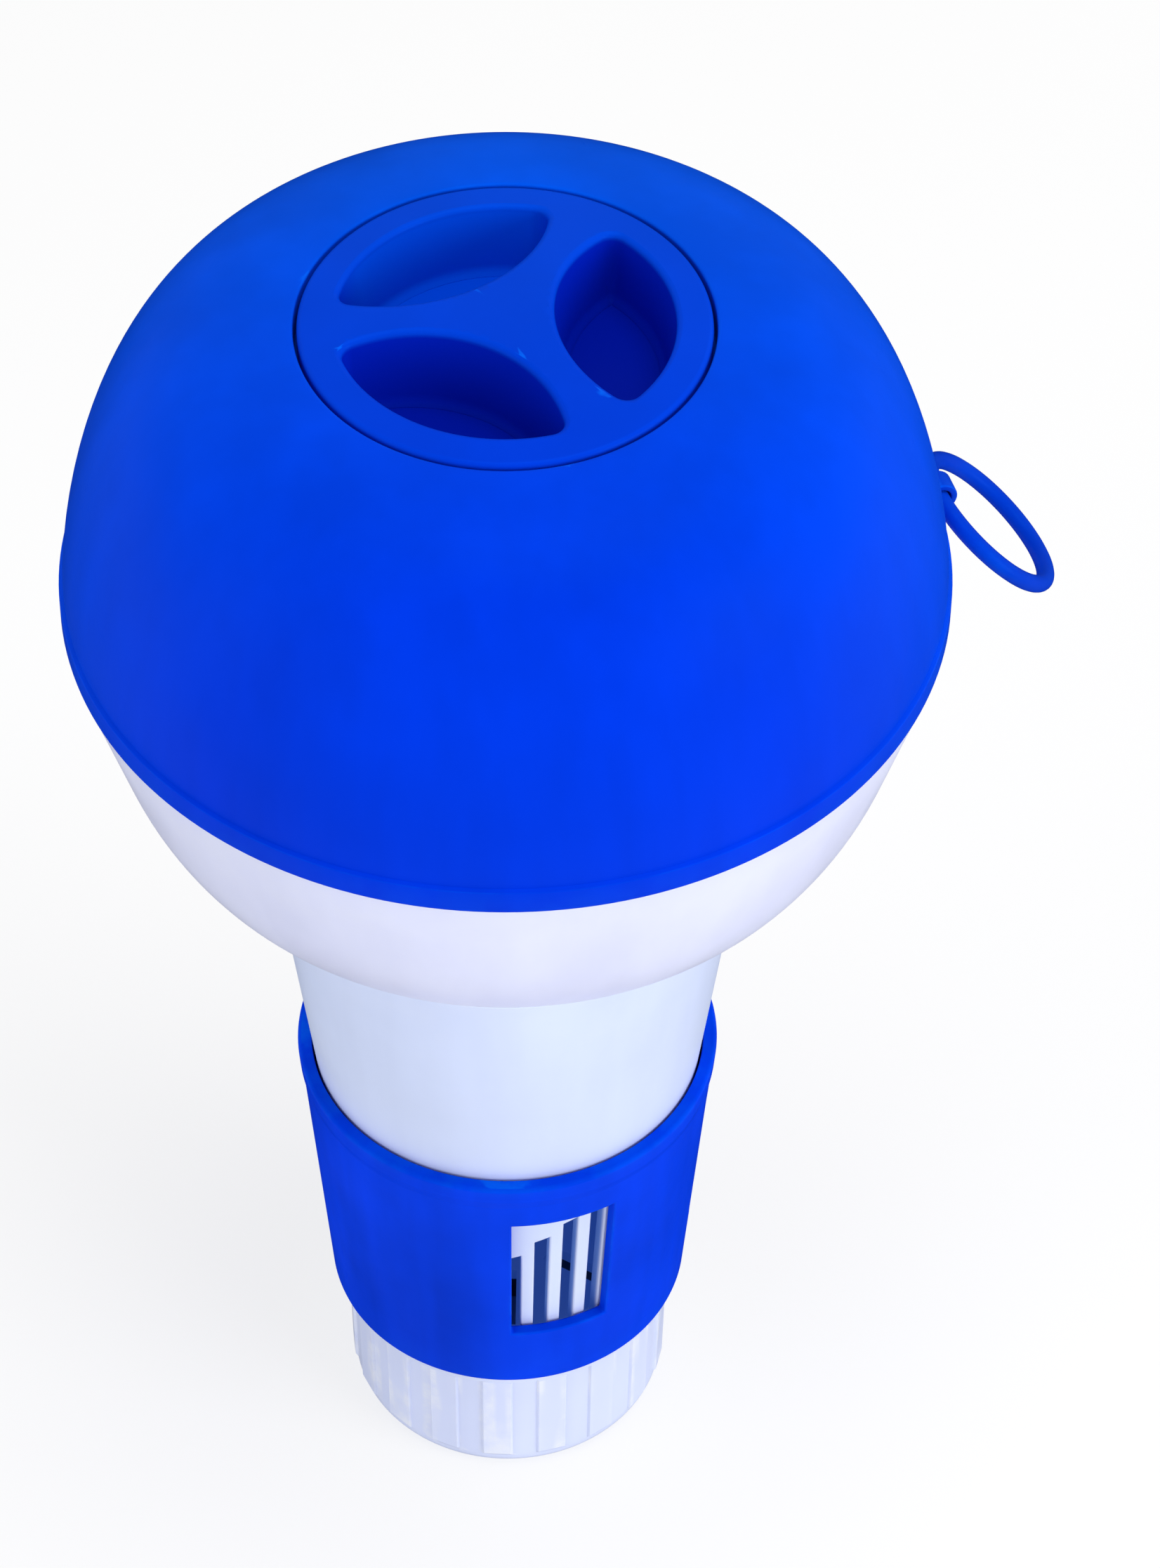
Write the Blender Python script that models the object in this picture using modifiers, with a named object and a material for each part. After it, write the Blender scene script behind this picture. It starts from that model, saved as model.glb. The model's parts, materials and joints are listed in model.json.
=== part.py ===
"""Floating chlorine dispenser: a domed float over a slotted tablet tube with a turning flow collar.

Frame: +Z up, origin at the centre of the base's underside, front towards -Y.
Azimuths in this file are in degrees from +X towards +Y. Lengths are in millimetres
until a shape is made, when MM turns them into metres.
"""
import math

import bmesh
import bpy
from mathutils import Matrix, Vector
from mathutils.geometry import interpolate_bezier

MM = 0.001
FRONT = -90.0              # azimuth of -Y

# Float: two shells that meet at the rim
RIM_RADIUS = 63.5          # widest radius, at the rim band
RIM_BOTTOM = 176.2         # height of the dome's lower edge
RIM_BAND_TOP = 180.6       # the crease where the dome rises from the band
BAND_STEP = 0.6            # how far the band stands proud of the dome
DOME_RISE = 45.8           # from the crease to the crown
DOME_SPREAD = 5.67         # exponents of the dome's superellipse
DOME_ROUND = 1.523
DOME_BORE = 60.6           # inside of the shell, at the seal shelf
INNER_RISE = DOME_RISE - 2.6
SHELL_WALL = 2.0
SEAL_SHELF = 181.0         # shelf inside the dome that the rim seal meets
SKIRT_BORE = 62.2          # inside of the band, round the bowl's edge
BOWL_EDGE_RADIUS = 61.9
BOWL_EDGE_TOP = 179.0
BOWL_EDGE_DEPTH = 4.5      # straight edge below the rim, before the cone starts
BOWL_CONE_DEPTH = 19.5
BOWL_CONE_RADIUS = 57.6    # at the cone's lower end
BOWL_ROUND_START = 10.0    # how far the round follows the cone, and then the floor
BOWL_ROUND_END = 9.0
BOWL_FLOOR_RADIUS = 39.5
BOWL_FLOOR = 135.9         # underside of the bowl
NECK_FILLET = 2.6
NECK_FLARE = 0.7           # how much wider than the tube the bowl's neck starts

# Lid and its socket in the crown of the dome
LID_RADIUS = 28.5
LID_TOP = 228.2            # at the middle of the crowned top
LID_CROWN = 2.0            # how much lower the top stands at its edge
LID_EDGE_ROUND = 0.9
LID_UNDERSIDE = 222.9      # the plate's seat, outside the skirt
LID_PLATE = 2.8            # thickness of the plate in the middle
LID_SKIRT_RADIUS = 25.4
LID_SKIRT_WALL = 1.7
LID_SKIRT_BOTTOM = 209.0
RECESS_OUTER = 23.4        # arc that bounds each finger recess outside
RECESS_CENTRE = 28.1       # centre and radius of the arc that bounds it inside
RECESS_RADIUS = 21.35
RECESS_FLOOR = 215.7
RECESS_WALL = 1.5
RECESS_WALL_TOP = 226.0    # where the cup's wall ends inside the plate
RECESS_AZIMUTHS = (3.7, 123.7, 243.7)
LUG_AZIMUTHS = (60.0, 180.0, 300.0)
LUG_ARC = 20.0             # degrees that each bayonet lug covers
LUG_RADIUS = 27.3
LUG_BOTTOM, LUG_TOP = 210.9, 213.9
SOCKET_RADIUS = 29.0
SEAT_HEIGHT = 221.2        # ledge that carries the lid's gasket
THROAT_RADIUS = 25.9
LIP_BOTTOM = 214.5         # underside of the bayonet lip
NECK_BORE = 27.8           # room below the lip where the lugs turn
NECK_RADIUS = 30.8
NECK_BOTTOM = 204.0

# Filler neck: the inner tube between the socket and the tablet tube
FILLER_TOP = 209.5
FILLER_FLANGE_TOP = 201.9
FILLER_FOOT = 146.5
FILLER_RADIUS = 27.5       # outside, above the flange
FILLER_BORE = 25.7
FLANGE_THICKNESS = 1.8
FILLER_BODY_TOP = 28.6     # radii of the cone between the flange and the foot
FILLER_BODY_BOTTOM = 31.6
FOOT_NECK_RADIUS = 33.0
FOOT_BORE = 29.8
FOOT_THICKNESS = 2.0
FOOT_RADIUS = 37.4

# Tablet tube
TUBE_RADIUS = 30.1         # outside, at the top of the collar
TUBE_TAPER = 0.0775        # growth of radius with height, below the top of the collar
TUBE_FLARE = 0.12          # the same above it
TUBE_WALL = 2.2
SHOULDER = 125.0           # where the tube meets the bowl's neck
SPIGOT_RADIUS = 33.2
SPIGOT_BORE = 30.0
SPIGOT_TOP = 144.0
GROOVE_BOTTOM, GROOVE_TOP = 133.0, 135.0
GROOVE_DEPTH = 1.8
BOSS_TOP = 144.4           # top of the bowl's inner boss
BOSS_RADIUS = 37.4
BOSS_BORE = 33.55
SLOT_PITCH = 9.0           # degrees
SLOT_WIDTH = 4.8           # degrees
SLOTS_PER_GROUP = 8
FIRST_SLOT = -15.3         # azimuth of the shortest slot, from the front
SLOT_BOTTOM = 36.5
SLOT_TOP = 72.1            # top of the longest slot
SLOT_RAMP = 24.1           # how much shorter the first slot is
SLOT_RAMP_CURVE = 1.6
SLOT_TOP_SLANT = 0.9       # rise of one slot's top over its width
SLOT_CUT = 8.0             # depth of the slot cutter, more than the wall

# Flow collar
COLLAR_BOTTOM, COLLAR_TOP = 26.5, 79.4
COLLAR_GAP = 0.35
COLLAR_WALL = 2.15
COLLAR_BAND = 3.2          # height of the raised band at the top
BAND_RELIEF = 0.25         # how far the sleeve stands back from the band
WINDOW_CENTRE = 17.2       # azimuth from the front
WINDOW_ARC = 30.3
WINDOW_BOTTOM, WINDOW_TOP = 40.1, 69.5
WINDOW_CUT_INNER, WINDOW_CUT_OUTER = 22.0, 40.0
GRIP_BOTTOM = 41.3
GRIP_ARC = 17.0
GRIP_DEPTH = 0.6

# Base cap, grate and ballast
CAP_TOP = 26.2
CAP_FLANGE_RADIUS = 27.5
CAP_RADIUS = 25.5
CAP_BORE = 23.9
CAP_FLOOR = 2.2
CAP_CORNER = 3.0
CAP_FLANGE_THICKNESS = 1.0
CAP_DRAFT = 0.4            # how much the wall closes in from the flange to the corner
FOOT_GROOVE = (17.4, 18.6) # ring groove in the underside
FOOT_GROOVE_DEPTH = 0.6
FOOT_GROOVE_SIDE = 0.4
RIB_COUNT = 18
FIRST_RIB = FRONT - 3.0
RIB_HEIGHT = 0.4
RIB_WIDTH = 4.4
RIB_DEPTH = 1.3            # from the rib's face into the wall
TUBE_FOOT_RADIUS = 23.6
TUBE_FOOT_BORE = 21.4
TUBE_FOOT_BOTTOM = 3.0
GRATE_RADIUS = 23.5
GRATE_BOTTOM, GRATE_TOP = 26.6, 28.8
GRATE_OPENINGS = 6
GRATE_OPENING = (11.0, 3.0, 6.0)
GRATE_OPENING_RADIUS = 13.0
BALLAST_RADIUS, BALLAST_BORE = 20.8, 8.0
BALLAST_BOTTOM, BALLAST_TOP = 2.5, 12.5
BALLAST_CHAMFER = 1.0

# Seals
SEAL_SECTION = 0.75        # radius of an O-ring's section
RIM_SEAL_RADIUS = 61.05
UPPER_SEAL_RADIUS = 29.3
LOWER_SEAL_RADIUS = 35.4
GASKET_INNER, GASKET_OUTER = 26.3, 28.3
GASKET_GAP = 0.3           # to the socket's ledge and to the lid's plate

# Tether ring and its lug on the rim
RING_AZIMUTH = 17.5
RING_RADIUS = 11.9         # centreline
RING_SECTION = 1.35
RING_DROOP = 45.0          # degrees below level
HINGE_RADIUS = 65.2        # distance of the hinge from the axis
HINGE_HEIGHT = 176.7
LUG_EYE_BORE = 1.7
LUG_EYE_RADIUS = 2.6
RING_LUG_WIDTH = 3.6
LUG_ROOT_RADIUS = 62.5
NOTCH_CLEARANCE = 0.3

TOUCH = 0.3                # gap kept between faces that meet
FINE, COARSE = 48, 36      # facets round large and small turned parts

BLUE = (0.004, 0.056, 0.80)
LID_BLUE = (0.004, 0.060, 0.72)
WHITE = (0.80, 0.86, 0.94)


def clear_scene():
    for item in list(bpy.data.objects):
        bpy.data.objects.remove(item)


def collection(name):
    made = bpy.data.collections.new(name)
    bpy.context.scene.collection.children.link(made)
    return made


def material(name, colour, roughness, metallic=0.0):
    made = bpy.data.materials.new(name)
    made.use_nodes = True
    shader = made.node_tree.nodes["Principled BSDF"]
    shader.inputs["Base Color"].default_value = (*colour, 1.0)
    shader.inputs["Roughness"].default_value = roughness
    shader.inputs["Metallic"].default_value = metallic
    return made


clear_scene()
PARTS = collection("floating_chlorine_dispenser")
CUTTERS = collection("cutters")


# ---------------------------------------------------------------- shared shape helpers

def arc(centre_r, centre_z, radius, start, end, points):
    """Points on an arc of a profile, angles in degrees from +r towards +z."""
    made = []
    for step in range(points):
        angle = math.radians(start + (end - start) * step / (points - 1))
        made.append((centre_r + radius * math.cos(angle), centre_z + radius * math.sin(angle)))
    return made


def polar(radius, azimuth):
    angle = math.radians(azimuth)
    return (radius * math.cos(angle), radius * math.sin(angle))


def keep(item, home, look=None):
    """Puts an object in one collection and gives it its material."""
    for owner in list(item.users_collection):
        owner.objects.unlink(item)
    home.objects.link(item)
    if home is CUTTERS:
        item.hide_render = True
        item.display_type = "WIRE"
    if look:
        item.data.materials.clear()
        item.data.materials.append(look)
    return item


def turned(name, profile, look, facets=COARSE, closed=True):
    """A turned solid. The profile runs down its outer side; an open one starts and ends on the axis."""
    mesh = bpy.data.meshes.new(name)
    verts = [(r * MM, 0.0, z * MM) for r, z in profile]
    edges = [(i, i + 1) for i in range(len(verts) - 1)]
    if closed:
        edges.append((len(verts) - 1, 0))
    mesh.from_pydata(verts, edges, [])
    item = bpy.data.objects.new(name, mesh)
    screw = item.modifiers.new("turn", "SCREW")
    screw.axis = "Z"
    screw.angle = 2.0 * math.pi
    screw.steps = facets
    screw.render_steps = facets
    screw.use_merge_vertices = True
    screw.merge_threshold = 0.000001
    screw.use_smooth_shade = False
    return keep(item, PARTS, look)


def prism(name, outline, bottom, top):
    """A cutter: a flat outline, raised from bottom to top."""
    curve = bpy.data.curves.new(name + "_outline", "CURVE")
    curve.dimensions = "2D"
    curve.fill_mode = "BOTH"
    curve.extrude = (top - bottom) / 2.0 * MM
    spline = curve.splines.new("POLY")
    spline.points.add(len(outline) - 1)
    for point, (x, y) in zip(spline.points, outline):
        point.co = (x * MM, y * MM, 0.0, 1.0)
    spline.use_cyclic_u = True
    guide = bpy.data.objects.new(name + "_outline", curve)
    guide.location.z = (top + bottom) / 2.0 * MM
    bpy.context.scene.collection.objects.link(guide)
    bpy.context.view_layer.update()
    graph = bpy.context.evaluated_depsgraph_get()
    mesh = bpy.data.meshes.new_from_object(guide.evaluated_get(graph))
    shape = bmesh.new()
    shape.from_mesh(mesh)
    bmesh.ops.remove_doubles(shape, verts=shape.verts, dist=0.000001)
    bmesh.ops.recalc_face_normals(shape, faces=shape.faces)
    shape.to_mesh(mesh)
    shape.free()
    item = bpy.data.objects.new(name, mesh)
    item.matrix_world = guide.matrix_world
    bpy.data.objects.remove(guide)
    return keep(item, CUTTERS)


def boxes(name, sizes_and_places):
    """Separate boxes in one cutter: each entry is a size in millimetres and a placing matrix."""
    shape = bmesh.new()
    for size, place in sizes_and_places:
        scale = Matrix.Diagonal((size[0] * MM, size[1] * MM, size[2] * MM, 1.0))
        bmesh.ops.create_cube(shape, size=1.0, matrix=place @ scale)
    mesh = bpy.data.meshes.new(name)
    shape.to_mesh(mesh)
    shape.free()
    return keep(bpy.data.objects.new(name, mesh), CUTTERS)


def cylinder(name, radius, length, place, facets=24):
    """A cylinder cutter whose axis is the placing matrix's z axis."""
    shape = bmesh.new()
    bmesh.ops.create_cone(shape, cap_ends=True, segments=facets, radius1=radius * MM,
                          radius2=radius * MM, depth=length * MM, matrix=place)
    mesh = bpy.data.meshes.new(name)
    shape.to_mesh(mesh)
    shape.free()
    return keep(bpy.data.objects.new(name, mesh), CUTTERS)


def at(radius, azimuth, height):
    """A placing matrix: local x points outwards at this azimuth, local z up."""
    x, y = polar(radius, azimuth)
    place = Matrix.Translation(Vector((x, y, height)) * MM)
    return place @ Matrix.Rotation(math.radians(azimuth), 4, "Z")


def boolean(item, tool, operation):
    step = item.modifiers.new(operation.lower(), "BOOLEAN")
    step.operation = operation
    step.solver = "EXACT"
    step.object = tool


def shade(item):
    """Smooth round faces with sharp edges kept."""
    item.data.shade_smooth()
    item.data.set_sharp_from_angle(angle=math.radians(35.0))


def sector(inner, outer, centre, width, points=7):
    """Outline of a ring sector, used for windows, lugs and their entry slots."""
    turn = [centre - width / 2.0 + width * i / (points - 1) for i in range(points)]
    return [polar(outer, a) for a in turn] + [polar(inner, a) for a in reversed(turn)]


def o_ring(name, radius, height, look):
    bpy.ops.mesh.primitive_torus_add(major_radius=radius * MM, minor_radius=SEAL_SECTION * MM,
                                     major_segments=36, minor_segments=6,
                                     location=(0.0, 0.0, height * MM))
    item = bpy.context.object
    item.name = name
    return keep(item, PARTS, look)


def tube_radius(height):
    """Outside radius of the tablet tube at a height."""
    taper = TUBE_TAPER if height < COLLAR_TOP else TUBE_FLARE
    return TUBE_RADIUS + taper * (height - COLLAR_TOP)


# ---------------------------------------------------------------- the float

def superellipse(radius, base, rise, first_radius, points):
    """Dome profile from first_radius out to the full radius, crown first."""
    start = math.asin((first_radius / radius) ** (DOME_SPREAD / 2.0))
    made = []
    for step in range(points):
        angle = start + (math.pi / 2.0 - start) * step / (points - 1)
        r = radius * math.sin(angle) ** (2.0 / DOME_SPREAD)
        z = base + rise * max(math.cos(angle), 0.0) ** (2.0 / DOME_ROUND)
        made.append((r, z))
    return made


def float_dome(look):
    bevel = 0.5
    outer = superellipse(RIM_RADIUS - BAND_STEP, RIM_BAND_TOP, DOME_RISE, SOCKET_RADIUS + bevel, 12)
    inner = superellipse(DOME_BORE, SEAL_SHELF, INNER_RISE, NECK_RADIUS, 8)
    edge_drop = outer[0][1] - bevel
    profile = outer
    profile += [(RIM_RADIUS, RIM_BAND_TOP - bevel), (RIM_RADIUS, RIM_BOTTOM + bevel)]
    profile += [(RIM_RADIUS - bevel, RIM_BOTTOM), (SKIRT_BORE, RIM_BOTTOM), (SKIRT_BORE, SEAL_SHELF)]
    profile += list(reversed(inner))
    profile += [(NECK_RADIUS, NECK_BOTTOM), (NECK_BORE, NECK_BOTTOM), (NECK_BORE, LIP_BOTTOM)]
    profile += [(THROAT_RADIUS, LIP_BOTTOM), (THROAT_RADIUS, SEAT_HEIGHT)]
    profile += [(SOCKET_RADIUS, SEAT_HEIGHT), (SOCKET_RADIUS, edge_drop)]
    dome = turned("float_dome", profile, look, FINE)
    for number, azimuth in enumerate(LUG_AZIMUTHS):
        outline = sector(THROAT_RADIUS - 2.0, NECK_BORE - 0.05, azimuth, LUG_ARC + 4.0)
        entry = prism(f"lug_entry_{number}", outline, LIP_BOTTOM - 1.0, SEAT_HEIGHT + 1.0)
        boolean(dome, entry, "DIFFERENCE")
    depth = RIM_RADIUS - SKIRT_BORE + 4.0
    notch_top = HINGE_HEIGHT + LUG_EYE_RADIUS + NOTCH_CLEARANCE
    size = (depth, RING_LUG_WIDTH + 2.0 * NOTCH_CLEARANCE, 2.0 * (notch_top - RIM_BOTTOM))
    notch = boxes("lug_notch", [(size, at(RIM_RADIUS, RING_AZIMUTH, RIM_BOTTOM))])
    boolean(dome, notch, "DIFFERENCE")
    return dome


def bowl_side(offset):
    """Outer side of the bowl, moved inwards by offset: a steep cone, then a round into the floor."""
    cone_top = Vector((BOWL_EDGE_RADIUS - offset, RIM_BOTTOM - BOWL_EDGE_DEPTH))
    cone_end = Vector((BOWL_CONE_RADIUS - offset, RIM_BOTTOM - BOWL_CONE_DEPTH + 0.3 * offset))
    floor = Vector((BOWL_FLOOR_RADIUS, BOWL_FLOOR + offset))
    down = (cone_end - cone_top).normalized()
    along_cone = down * (BOWL_ROUND_START - 0.6 * offset)
    along_floor = Vector((BOWL_ROUND_END - 0.6 * offset, 0.0))
    round_points = interpolate_bezier(cone_end, cone_end + along_cone, floor + along_floor, floor, 7)
    return [tuple(cone_top)] + [tuple(point) for point in round_points]


def float_bowl(look):
    neck_top_radius = tube_radius(SHOULDER) + NECK_FLARE
    neck_bottom = SHOULDER + TOUCH
    outer = [(BOWL_EDGE_RADIUS, BOWL_EDGE_TOP)] + bowl_side(0.0)
    outer += arc(neck_top_radius + NECK_FILLET, BOWL_FLOOR - NECK_FILLET, NECK_FILLET, 90.0, 180.0, 4)
    outer += [(tube_radius(SHOULDER) + 0.1, neck_bottom)]
    bore = [(BOSS_BORE, neck_bottom), (BOSS_BORE, BOSS_TOP), (BOSS_RADIUS, BOSS_TOP)]
    bore += [(BOSS_RADIUS, BOWL_FLOOR + SHELL_WALL)]
    inner = list(reversed(bowl_side(SHELL_WALL)))
    top = [(BOWL_EDGE_RADIUS - SHELL_WALL, BOWL_EDGE_TOP)]
    return turned("float_bowl", outer + bore + inner + top, look, FINE)


def filler_neck(look):
    flange = FILLER_FLANGE_TOP - FLANGE_THICKNESS
    foot_top = FILLER_FOOT + FOOT_THICKNESS
    outer = [(FILLER_RADIUS, FILLER_TOP), (FILLER_RADIUS, FILLER_FLANGE_TOP)]
    outer += [(NECK_RADIUS, FILLER_FLANGE_TOP), (NECK_RADIUS, flange), (FILLER_BODY_TOP, flange - 1.2)]
    outer += [(FILLER_BODY_BOTTOM, foot_top + 1.6), (FOOT_NECK_RADIUS, foot_top)]
    outer += [(FOOT_RADIUS, foot_top), (FOOT_RADIUS, FILLER_FOOT), (FOOT_BORE, FILLER_FOOT)]
    inner = [(FOOT_BORE, foot_top + 1.0), (FILLER_BORE, flange), (FILLER_BORE, FILLER_TOP)]
    return turned("filler_neck", outer + inner, look)


# ---------------------------------------------------------------- tablet tube and base

def slot_top(number):
    """Height of one slot's top: the slots grow along the group, so turning the collar sets the flow."""
    left = 1.0 - number / (SLOTS_PER_GROUP - 1)
    return SLOT_TOP - SLOT_RAMP * left ** SLOT_RAMP_CURVE


def slot_cutter():
    """Every slot as a thin box with a slanted top, in two groups on opposite sides."""
    shape = bmesh.new()
    for group in (0.0, 180.0):
        for number in range(SLOTS_PER_GROUP):
            azimuth = FRONT + group + FIRST_SLOT + number * SLOT_PITCH
            top = slot_top(number)
            middle = (SLOT_BOTTOM + top) / 2.0
            width = math.radians(SLOT_WIDTH) * tube_radius(middle)
            scale = Matrix.Diagonal((SLOT_CUT * MM, width * MM, (top - SLOT_BOTTOM) * MM, 1.0))
            place = at(tube_radius(middle) - 1.0, azimuth, middle)
            made = bmesh.ops.create_cube(shape, size=1.0, matrix=place @ scale)
            inverse = place.inverted()
            for vert in made["verts"]:
                local = inverse @ vert.co
                if local.z > 0.0:
                    vert.co.z += math.copysign(SLOT_TOP_SLANT / 2.0 * MM, local.y)
    mesh = bpy.data.meshes.new("slot_cutter")
    shape.to_mesh(mesh)
    shape.free()
    return keep(bpy.data.objects.new("slot_cutter", mesh), CUTTERS)


def tablet_tube(look):
    groove_floor = SPIGOT_RADIUS - GROOVE_DEPTH
    outer = [(SPIGOT_RADIUS, SPIGOT_TOP), (SPIGOT_RADIUS, GROOVE_TOP), (groove_floor, GROOVE_TOP)]
    outer += [(groove_floor, GROOVE_BOTTOM), (SPIGOT_RADIUS, GROOVE_BOTTOM), (SPIGOT_RADIUS, SHOULDER)]
    outer += [(tube_radius(z), z) for z in (SHOULDER, COLLAR_TOP, CAP_TOP + TOUCH)]
    outer += [(TUBE_FOOT_RADIUS, CAP_TOP + TOUCH), (TUBE_FOOT_RADIUS, TUBE_FOOT_BOTTOM)]
    ledge = GRATE_BOTTOM - TOUCH
    inner = [(TUBE_FOOT_BORE, TUBE_FOOT_BOTTOM), (TUBE_FOOT_BORE, ledge)]
    inner += [(tube_radius(z) - TUBE_WALL, z) for z in (ledge, COLLAR_TOP, SHOULDER - 6.0)]
    inner += [(SPIGOT_BORE, SHOULDER + 2.0), (SPIGOT_BORE, SPIGOT_TOP)]
    tube = turned("tablet_tube", outer + inner, look, FINE)
    boolean(tube, slot_cutter(), "DIFFERENCE")
    return tube


def base_cap(look):
    flange = CAP_TOP - CAP_FLANGE_THICKNESS
    groove_inner, groove_outer = FOOT_GROOVE
    outer = [(CAP_FLANGE_RADIUS, CAP_TOP), (CAP_FLANGE_RADIUS, flange), (CAP_RADIUS, flange - 1.0)]
    outer += arc(CAP_RADIUS - CAP_DRAFT - CAP_CORNER, CAP_CORNER, CAP_CORNER, 0.0, -90.0, 6)
    outer += [(groove_outer + FOOT_GROOVE_SIDE, 0.0), (groove_outer, FOOT_GROOVE_DEPTH)]
    outer += [(groove_inner, FOOT_GROOVE_DEPTH), (groove_inner - FOOT_GROOVE_SIDE, 0.0), (0.0, 0.0)]
    inner = [(0.0, CAP_FLOOR), (CAP_BORE, CAP_FLOOR), (CAP_BORE, CAP_TOP)]
    cap = turned("base_cap", inner + outer, look, FINE, closed=False)
    ribs = []
    low, high = CAP_CORNER + 0.6, CAP_TOP - 2.6
    lean = Matrix.Rotation(math.atan(CAP_DRAFT / (CAP_TOP - CAP_CORNER)), 4, "Y")
    for number in range(RIB_COUNT):
        azimuth = FIRST_RIB + number * 360.0 / RIB_COUNT
        place = at(CAP_RADIUS + RIB_HEIGHT - RIB_DEPTH / 2.0, azimuth, (low + high) / 2.0) @ lean
        ribs.append(((RIB_DEPTH, RIB_WIDTH, high - low), place))
    boolean(cap, boxes("base_ribs", ribs), "UNION")
    return cap


def tablet_grate(look):
    profile = [(0.0, GRATE_TOP), (GRATE_RADIUS, GRATE_TOP), (GRATE_RADIUS, GRATE_BOTTOM)]
    profile += [(0.0, GRATE_BOTTOM)]
    grate = turned("tablet_grate", profile, look, COARSE, closed=False)
    middle = (GRATE_TOP + GRATE_BOTTOM) / 2.0
    openings = []
    for number in range(GRATE_OPENINGS):
        azimuth = 360.0 * (number + 0.5) / GRATE_OPENINGS
        openings.append((GRATE_OPENING, at(GRATE_OPENING_RADIUS, azimuth, middle)))
    boolean(grate, boxes("grate_openings", openings), "DIFFERENCE")
    return grate


def ballast_ring(look):
    profile = [(BALLAST_RADIUS, BALLAST_TOP - BALLAST_CHAMFER), (BALLAST_RADIUS, BALLAST_BOTTOM)]
    profile += [(BALLAST_BORE, BALLAST_BOTTOM), (BALLAST_BORE, BALLAST_TOP)]
    profile += [(BALLAST_RADIUS - BALLAST_CHAMFER, BALLAST_TOP)]
    return turned("ballast_ring", profile, look, 40)


# ---------------------------------------------------------------- flow collar

def flow_collar(look):
    def outside(height, extra=0.0):
        return TUBE_RADIUS + TUBE_TAPER * (height - COLLAR_TOP) + COLLAR_GAP + COLLAR_WALL + extra

    band = COLLAR_TOP - COLLAR_BAND
    top_bevel, foot_bevel = 0.6, 0.75
    outer = [(outside(COLLAR_TOP) - top_bevel, COLLAR_TOP), (outside(COLLAR_TOP), COLLAR_TOP - top_bevel)]
    outer += [(outside(band), band), (outside(band - 0.5, -BAND_RELIEF), band - 0.5)]
    outer += [(outside(COLLAR_BOTTOM, -BAND_RELIEF), COLLAR_BOTTOM + foot_bevel)]
    outer += [(outside(COLLAR_BOTTOM, -BAND_RELIEF - foot_bevel), COLLAR_BOTTOM)]
    inner = [(TUBE_RADIUS + TUBE_TAPER * (z - COLLAR_TOP) + COLLAR_GAP, z)
             for z in (COLLAR_BOTTOM, COLLAR_TOP)]
    collar = turned("flow_collar", outer + inner, look, FINE)
    for number, side in enumerate((0.0, 180.0)):
        azimuth = FRONT + WINDOW_CENTRE + side
        outline = sector(WINDOW_CUT_INNER, WINDOW_CUT_OUTER, azimuth, WINDOW_ARC)
        window = prism(f"window_{number}", outline, WINDOW_BOTTOM, WINDOW_TOP)
        boolean(collar, window, "DIFFERENCE")
        inner_radius = outside((GRIP_BOTTOM + WINDOW_TOP) / 2.0, -BAND_RELIEF - GRIP_DEPTH)
        outline = sector(inner_radius, WINDOW_CUT_OUTER, FRONT + 90.0 + side, GRIP_ARC)
        grip = prism(f"grip_{number}", outline, GRIP_BOTTOM, WINDOW_TOP)
        boolean(collar, grip, "DIFFERENCE")
    return collar


# ---------------------------------------------------------------- lid

def recess_outline(wall):
    """Lens between the recess's outer arc and its inner arc, both grown by the wall."""
    outer, inner = RECESS_OUTER + wall * 0.3, RECESS_RADIUS + wall
    tip_x = (outer ** 2 - inner ** 2 + RECESS_CENTRE ** 2) / (2.0 * RECESS_CENTRE)
    tip_y = math.sqrt(outer ** 2 - tip_x ** 2)
    outer_tip = math.degrees(math.atan2(tip_y, tip_x))
    inner_tip = math.degrees(math.atan2(tip_y, tip_x - RECESS_CENTRE))
    outside = arc(0.0, 0.0, outer, -outer_tip, outer_tip, 11)
    inside = arc(RECESS_CENTRE, 0.0, inner, inner_tip, 360.0 - inner_tip, 13)
    return outside + inside[1:-1]


def turn_outline(outline, azimuth):
    angle = math.radians(azimuth)
    cosine, sine = math.cos(angle), math.sin(angle)
    return [(x * cosine - y * sine, x * sine + y * cosine) for x, y in outline]


def lid_top(radius):
    """Height of the crowned top at a radius."""
    return LID_TOP - LID_CROWN * (radius / LID_RADIUS) ** 2


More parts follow.
